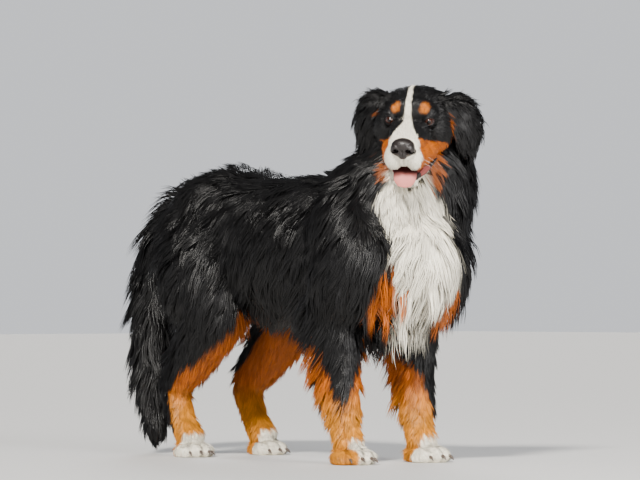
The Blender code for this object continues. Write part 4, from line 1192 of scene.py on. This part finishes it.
def irisMaterial():
    made, tree, shader = finish("irisFinish")
    place = node(tree, "ShaderNodeTexCoord")
    flat = node(tree, "ShaderNodeVectorMath", operation="MULTIPLY")
    flat.inputs[1].default_value = (1, 0, 1)
    reach = node(tree, "ShaderNodeVectorMath", operation="LENGTH")
    fibres = node(tree, "ShaderNodeTexNoise", Scale=1400.0, Detail=3.0)
    wander = node(tree, "ShaderNodeMath", operation="MULTIPLY_ADD")
    wander.inputs[1].default_value = 0.0009
    share = node(tree, "ShaderNodeMath", operation="DIVIDE")
    share.inputs[1].default_value = stance["eyeRadius"] * cm
    ramp = node(tree, "ShaderNodeValToRGB")
    radius = stance["eyeRadius"] * cm
    pupil, iris = eyeFinish["pupil"] / radius, eyeFinish["iris"] / radius
    black = (0.002, 0.002, 0.002)
    marks = [
        (0.0, black),
        (pupil, black),
        (pupil + 0.05, eyeFinish["darkBrown"]),
        (pupil + 0.16, eyeFinish["brown"]),
        ((pupil + iris) / 2, eyeFinish["brown"]),
        (iris, eyeFinish["darkBrown"]),
        (iris + 0.07, eyeFinish["white"]),
        (0.97, eyeFinish["haw"]),
    ]
    while len(ramp.color_ramp.elements) < len(marks):
        ramp.color_ramp.elements.new(0.5)
    for stop, (position, colour) in zip(ramp.color_ramp.elements, marks):
        stop.position = position
        stop.color = (*colour, 1)
    tree.links.new(place.outputs["Object"], flat.inputs[0])
    tree.links.new(flat.outputs["Vector"], reach.inputs[0])
    tree.links.new(place.outputs["Object"], fibres.inputs["Vector"])
    tree.links.new(fibres.outputs["Fac"], wander.inputs[0])
    tree.links.new(reach.outputs["Value"], wander.inputs[2])
    tree.links.new(wander.outputs["Value"], share.inputs[0])
    tree.links.new(share.outputs["Value"], ramp.inputs["Fac"])
    tree.links.new(ramp.outputs["Color"], shader.inputs["Base Color"])
    shader.inputs["Roughness"].default_value = 0.12
    shader.inputs["Specular IOR Level"].default_value = 0.3
    shader.inputs["Coat Weight"].default_value = 0.2
    shader.inputs["Coat Roughness"].default_value = 0.03
    return made


def plainMaterial(name, colour, roughness, grain, depth, coatShare=0.0, specular=0.5):
    # one colour broken up by a fine grain, which also roughens the surface
    made, tree, shader = finish(name)
    place = node(tree, "ShaderNodeTexCoord")
    noise = node(tree, "ShaderNodeTexVoronoi", Scale=grain)
    ramp = node(tree, "ShaderNodeValToRGB")
    ramp.color_ramp.elements[0].color = (*(value * 0.75 for value in colour), 1)
    ramp.color_ramp.elements[1].color = (*(min(1, value * 1.25) for value in colour), 1)
    bump = node(tree, "ShaderNodeBump", Strength=0.6, Distance=depth)
    tree.links.new(place.outputs["Object"], noise.inputs["Vector"])
    tree.links.new(noise.outputs["Distance"], ramp.inputs["Fac"])
    tree.links.new(ramp.outputs["Color"], shader.inputs["Base Color"])
    tree.links.new(noise.outputs["Distance"], bump.inputs["Height"])
    tree.links.new(bump.outputs["Normal"], shader.inputs["Normal"])
    shader.inputs["Roughness"].default_value = roughness
    shader.inputs["Specular IOR Level"].default_value = specular
    shader.inputs["Coat Weight"].default_value = coatShare
    shader.inputs["Coat Roughness"].default_value = 0.15
    return made


def buildEye(side, word):
    radius = stance["eyeRadius"]
    points, faces = ballShape((0, 0, 0), (radius,) * 3, 48)
    points = points[:, [0, 2, 1]] * (1, -1, 1)  # a pole forward, so that the rings run round the pupil
    off = np.degrees(np.arccos(np.clip(-points[:, 1] / radius, -1, 1)))
    points *= (1 + eyeFinish["bulge"] * (1 - smoothstep(8, 36, off)))[:, None]
    mesh = bpy.data.meshes.new(f"eyeball_{word}")
    mesh.from_pydata((points * cm).tolist(), [], faces)
    mesh.shade_smooth()
    made = bpy.data.objects.new(f"eyeball_{word}", mesh)
    bpy.context.scene.collection.objects.link(made)
    place = eyeMatrix(side, "gazeTurn")
    place.translation = place.translation * cm + shift
    made.matrix_world = place
    return made


def rimPath(side, out, share):
    # the edge of the lids as a closed line over the eyeball, or a line inside it
    turn = np.arange(48) * 2 * math.pi / 48
    across = eyeForm["halfWide"] * share * np.cos(turn)
    up = np.sin(turn) * eyeForm["halfHigh"] * share * np.where(np.sin(turn) > 0, 1, eyeForm["lowShare"])
    up /= 1 + 0.15 * np.abs(np.cos(turn)) ** 3
    a, e = np.radians(across), np.radians(up)
    reach = stance["eyeRadius"] + out
    local = np.stack([np.sin(a) * np.cos(e), -np.cos(a) * np.cos(e), np.sin(e)], axis=1) * reach
    return moved(local, eyeMatrix(side))


def loopTube(path, radius, sides=8):
    ahead = unit(np.roll(path, -1, axis=0) - np.roll(path, 1, axis=0))
    middle = path.mean(axis=0)
    out = unit(path - middle)
    across = unit(np.cross(ahead, out))
    out = np.cross(across, ahead)
    turn = np.arange(sides) * 2 * math.pi / sides
    rings = path[:, None] + radius * (np.cos(turn)[None, :, None] * out[:, None] + np.sin(turn)[None, :, None] * across[:, None])
    count = len(path)
    faces = []
    for i in range(count):
        for k in range(sides):
            a, b = i * sides + k, i * sides + (k + 1) % sides
            c, d = (i + 1) % count * sides + (k + 1) % sides, (i + 1) % count * sides + k
            faces.append((a, b, c, d))
    return rings.reshape(-1, 3), faces


noseForm = {
    "balls": [
        ((0, -15.5, -2.2), (2.6, 1.8, 1.8)),
        ((1.25, -15.9, -2.7), (1.45, 1.45, 1.55)),
        ((0, -15.9, -3.8), (1.2, 1.3, 1.3)),
        ((2.0, -15.2, -3.3), (0.9, 1.0, 0.9)),
    ],
    "nostril": ((1.35, -17.3, -2.95), (0.66, 1.5, 0.52)),
    "slit": ((2.2, -16.9, -3.35), (0.8, 1.1, 0.22)),
    "colour": (0.012, 0.0075, 0.0065),
}


def buildNose():
    shapes = []
    for centre, radii in noseForm["balls"]:
        for side in (-1, 1) if centre[0] else (1,):
            shapes.append(shapeMoved(ballShape((centre[0] * side, *centre[1:]), radii), headMatrix()))
    made = remeshed("noseLeather", shapes, 0.09, 4)
    points = moved(pointsOf(made), headMatrix().inverted())
    x, y, z = points.T
    groove = np.exp(-((x / 0.16) ** 2)) * smoothstep(-2.2, -3.2, z) * (y < -15.5)
    points[:, 1] += 0.22 * groove
    setPoints(made, moved(points, headMatrix()))
    for part in ("nostril", "slit"):
        centre, radii = noseForm[part]
        for side in (-1, 1):
            cutter = shapeMoved(ballShape((centre[0] * side, *centre[1:]), radii, 20), headMatrix())
            combine(made, makeObject("cutter", cutter), "DIFFERENCE")
    made.data.shade_smooth()
    return made


tongueForm = {
    # middle, half width and half thickness, in the jaw's frame
    "stations": [
        (0, -3.0, -5.8, 2.2, 0.55, 0),
        (0, -8.0, -5.4, 2.4, 0.55, 0),
        (0, -12.0, -5.45, 2.55, 0.48, 0),
        (0, -13.8, -5.7, 2.6, 0.45, 0),
        (0, -15.0, -6.7, 2.3, 0.36, 0),
        (0, -15.5, -7.5, 1.6, 0.3, 0),
    ],
    # tip is the tongue's own pink; root is painted shade for the dark back of the mouth, not a colour of the tongue
    "tip": (0.78, 0.26, 0.22),
    "root": (0.07, 0.012, 0.012),
    "mouthShadeFrom": (-14.9, -13.2),  # along the jaw, where the tongue's pink has run into the painted shade at the back of the mouth
}


def buildTongue():
    points, faces = tubeShape(tongueForm["stations"], sides=40, square=2.2, steps=8)
    groove = np.exp(-((points[:, 0] / 0.45) ** 2)) * (points[:, 1] < -6)
    points[:, 2] -= 0.12 * groove
    points[:, 2] += 0.08 * (points[:, 0] / 2.4) ** 2
    # towards the back of the mouth the tongue's pink runs into painted shade; it is also a little darker towards its
    # sides
    deep = smoothstep(*tongueForm["mouthShadeFrom"], points[:, 1])[:, None]
    edge = 1 - 0.25 * np.abs(points[:, :1] / 2.5) ** 2
    made = makeObject("tonguePiece", (moved(points, jawMatrix()), faces))
    tip, root = np.array(tongueForm["tip"]), np.array(tongueForm["root"])
    setColours(made, "coatColour", (tip * (1 - deep) + root * deep) * edge)
    made.data.shade_smooth()
    return made


def buildClaws():
    shapes = []
    for kind in ("fore", "hind"):
        for side in (-1, 1):
            for centre, radii, turn in pawForm["toes"]:
                tip = Vector(centre) + Vector((0, -radii[1] - 0.05, -0.3))
                place = pawMatrix(kind, side) @ Matrix.Translation(tip) @ turned(turn, "Z")
                shapes.append(shapeMoved(tubeShape(pawForm["claw"], sides=12, square=2.0, steps=5), place))
    made = makeObject("claws", shapesJoined(shapes))
    points = pointsOf(made)
    points[:, 2] = np.maximum(points[:, 2], 0.02)
    setPoints(made, points)
    made.data.shade_smooth()
    return made


whiskerForm = {"roots": [(3.4, -14.6, -5.0), (3.9, -13.6, -5.6), (4.0, -12.4, -5.0), (3.3, -14.9, -6.2), (4.0, -12.9, -6.6)],
               "out": (0.8, 0.35, -0.35), "length": 5.0, "thickness": 0.026}


def buildWhiskers():
    shapes = []
    for root in whiskerForm["roots"]:
        for side in (-1, 1):
            at = np.array(root) * (side, 1, 1)
            way = np.array(whiskerForm["out"]) * (side, 1, 1) + dice.normal(size=3) * 0.16
            length = whiskerForm["length"] * dice.uniform(0.6, 1.1)
            rows = []
            for s in np.linspace(0, 1, 5):
                spot = at + unit(way) * length * s + np.array([0, 0.4, -1.0]) * length * 0.28 * s * s
                rows.append((*spot, whiskerForm["thickness"] * (1.05 - s), whiskerForm["thickness"] * (1.05 - s), 0))
            points, faces = thinTube(rows)
            shapes.append((moved(points, headMatrix()), faces))
    made = makeObject("whiskers", shapesJoined(shapes))
    made.data.shade_smooth()
    return made


def thinTube(rows, sides=5):
    line = smoothPath(rows, 4)
    ahead = unit(np.gradient(line[:, :3], axis=0))
    across = unit(np.cross(ahead, (0.0, 0.3, 1.0)))
    out = np.cross(across, ahead)
    turn = np.arange(sides) * 2 * math.pi / sides
    rings = [line[i, :3] + line[i, 3] * (np.cos(turn)[:, None] * across[i] + np.sin(turn)[:, None] * out[i]) for i in range(len(line))]
    points = np.vstack(rings)
    faces = [tuple(range(sides)), tuple(range(len(points) - 1, len(points) - 1 - sides, -1))]
    for r in range(len(line) - 1):
        for k in range(sides):
            a, b = r * sides + k, r * sides + (k + 1) % sides
            faces.append((a, b, b + sides, a + sides))
    return points, faces


iris = irisMaterial()
rim = plainMaterial("lidRimFinish", eyeFinish["rim"], 0.6, 900, 0.0002, specular=0.15)
haw = plainMaterial("hawFinish", eyeFinish["haw"], 0.3, 900, 0.0001, 0.8)
for side, word in ((-1, "right"), (1, "left")):
    wear(buildEye(side, word), iris, "eye", f"eye_{word}")
    lids = makeObject(f"lidRim_{word}", loopTube(rimPath(side, 0.06, 1), 0.09))
    lids.data.shade_smooth()
    wear(lids, rim, "black_coat")
    inner = makeObject(f"haw_{word}", loopTube(rimPath(side, 0.0, 0.93), 0.04))
    inner.data.shade_smooth()
    wear(inner, haw, "tongue")
wear(buildNose(), plainMaterial("noseFinish", noseForm["colour"], 0.38, 700, 0.0004, 0.3), "nose_leather", "nose")
wear(buildTongue(), coatMaterial("tongueFinish", True), "tongue", "tongue")
wear(buildWhiskers(), plainMaterial("whiskerFinish", (0.7, 0.66, 0.6), 0.4, 500, 0.0001), "white_coat")
clawNodes = [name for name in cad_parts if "claw" in name]
wear(buildClaws(), plainMaterial("clawFinish", (0.1, 0.075, 0.06), 0.35, 500, 0.0002, 0.2), "claw", *clawNodes)
print("head pieces and claws made")

# floor, light and camera
studio = {
    "floor": (0.80, 0.79, 0.77),
    "sky": (0.86, 0.88, 0.92),
    "glow": (0.1, 0.4, 0.95, 0.24),  # from and to height, and the strength at each
    # from where, strength, softness in degrees and colour
    "suns": [
        ((-3.4, -2.0, 3.4), 4.4, 9.0, (1.0, 0.96, 0.9)),
        ((2.6, 2.8, 2.6), 0.9, 20.0, (0.95, 0.97, 1.0)),
    ],
    # place, size, power and colour of each lamp; all look at the dog's middle
    "lamps": [
        ((-0.8, -4.9, 1.9), 2.0, 210, (1.0, 0.98, 0.96)),
    ],
}


def hang(lamp, place):
    holder = bpy.data.objects.new(lamp.name, lamp)
    bpy.context.scene.collection.objects.link(holder)
    holder.location = place
    holder.rotation_euler = (Vector((0, 0, 0.45)) - Vector(place)).to_track_quat("-Z", "Y").to_euler()


def buildStudio():
    bpy.ops.mesh.primitive_plane_add(size=60, location=(0, 0, 0))
    floor = bpy.context.object
    floor.name = "floor"
    made, tree, shader = finish("floorFinish")
    grain = node(tree, "ShaderNodeTexNoise", Scale=3.0, Detail=4.0)
    ramp = node(tree, "ShaderNodeValToRGB")
    low, high = studio["floor"], tuple(min(1, value * 1.03) for value in studio["floor"])
    ramp.color_ramp.elements[0].color = (*low, 1)
    ramp.color_ramp.elements[1].color = (*high, 1)
    tree.links.new(grain.outputs["Fac"], ramp.inputs["Fac"])
    tree.links.new(ramp.outputs["Color"], shader.inputs["Base Color"])
    shader.inputs["Roughness"].default_value = 0.75
    floor.data.materials.append(made)
    world = bpy.data.worlds.new("studio")
    world.use_nodes = True
    tree = world.node_tree
    place = node(tree, "ShaderNodeTexCoord")
    parts = node(tree, "ShaderNodeSeparateXYZ")
    glow = node(tree, "ShaderNodeMapRange", interpolation_type="SMOOTHSTEP")
    for name, value in zip(("From Min", "From Max", "To Min", "To Max"), studio["glow"]):
        glow.inputs[name].default_value = value
    back = tree.nodes["Background"]
    back.inputs["Color"].default_value = (*studio["sky"], 1)
    tree.links.new(place.outputs["Generated"], parts.inputs["Vector"])
    tree.links.new(parts.outputs["Z"], glow.inputs["Value"])
    tree.links.new(glow.outputs["Result"], back.inputs["Strength"])
    bpy.context.scene.world = world
    for number, (place, strength, softness, colour) in enumerate(studio["suns"], 1):
        sun = bpy.data.lights.new(f"sun_{number}", "SUN")
        sun.energy, sun.angle, sun.color = strength, math.radians(softness), colour
        hang(sun, place)
    for number, (place, size, power, colour) in enumerate(studio["lamps"], 1):
        lamp = bpy.data.lights.new(f"lamp_{number}", "AREA")
        lamp.size, lamp.energy, lamp.color = size, power, colour
        hang(lamp, place)


# the photograph looks from the dog's right front, a little below its back, through a long lens
view = {"turn": 42.0, "distance": 8.0, "height": 0.35, "focal": 3488.0, "originAcross": 316.0, "horizon": 307.0}


def buildCamera():
    turn = math.radians(view["turn"])
    back = Vector((-math.sin(turn), -math.cos(turn), 0))
    right = Vector((math.cos(turn), -math.sin(turn), 0))
    data = bpy.data.cameras.new("camera")
    data.sensor_width = 36.0
    data.lens = view["focal"] / 640 * 36
    data.clip_end = 200
    camera = bpy.data.objects.new("camera", data)
    bpy.context.scene.collection.objects.link(camera)
    camera.location = back * view["distance"] + Vector((0, 0, view["height"])) + Vector((shift.x, shift.y, 0))
    aim = -back + right * ((320 - view["originAcross"]) / view["focal"]) + Vector((0, 0, (view["horizon"] - 240) / view["focal"]))
    camera.rotation_euler = aim.to_track_quat("-Z", "Y").to_euler()
    bpy.context.scene.camera = camera


buildStudio()
buildCamera()
print("studio ready")
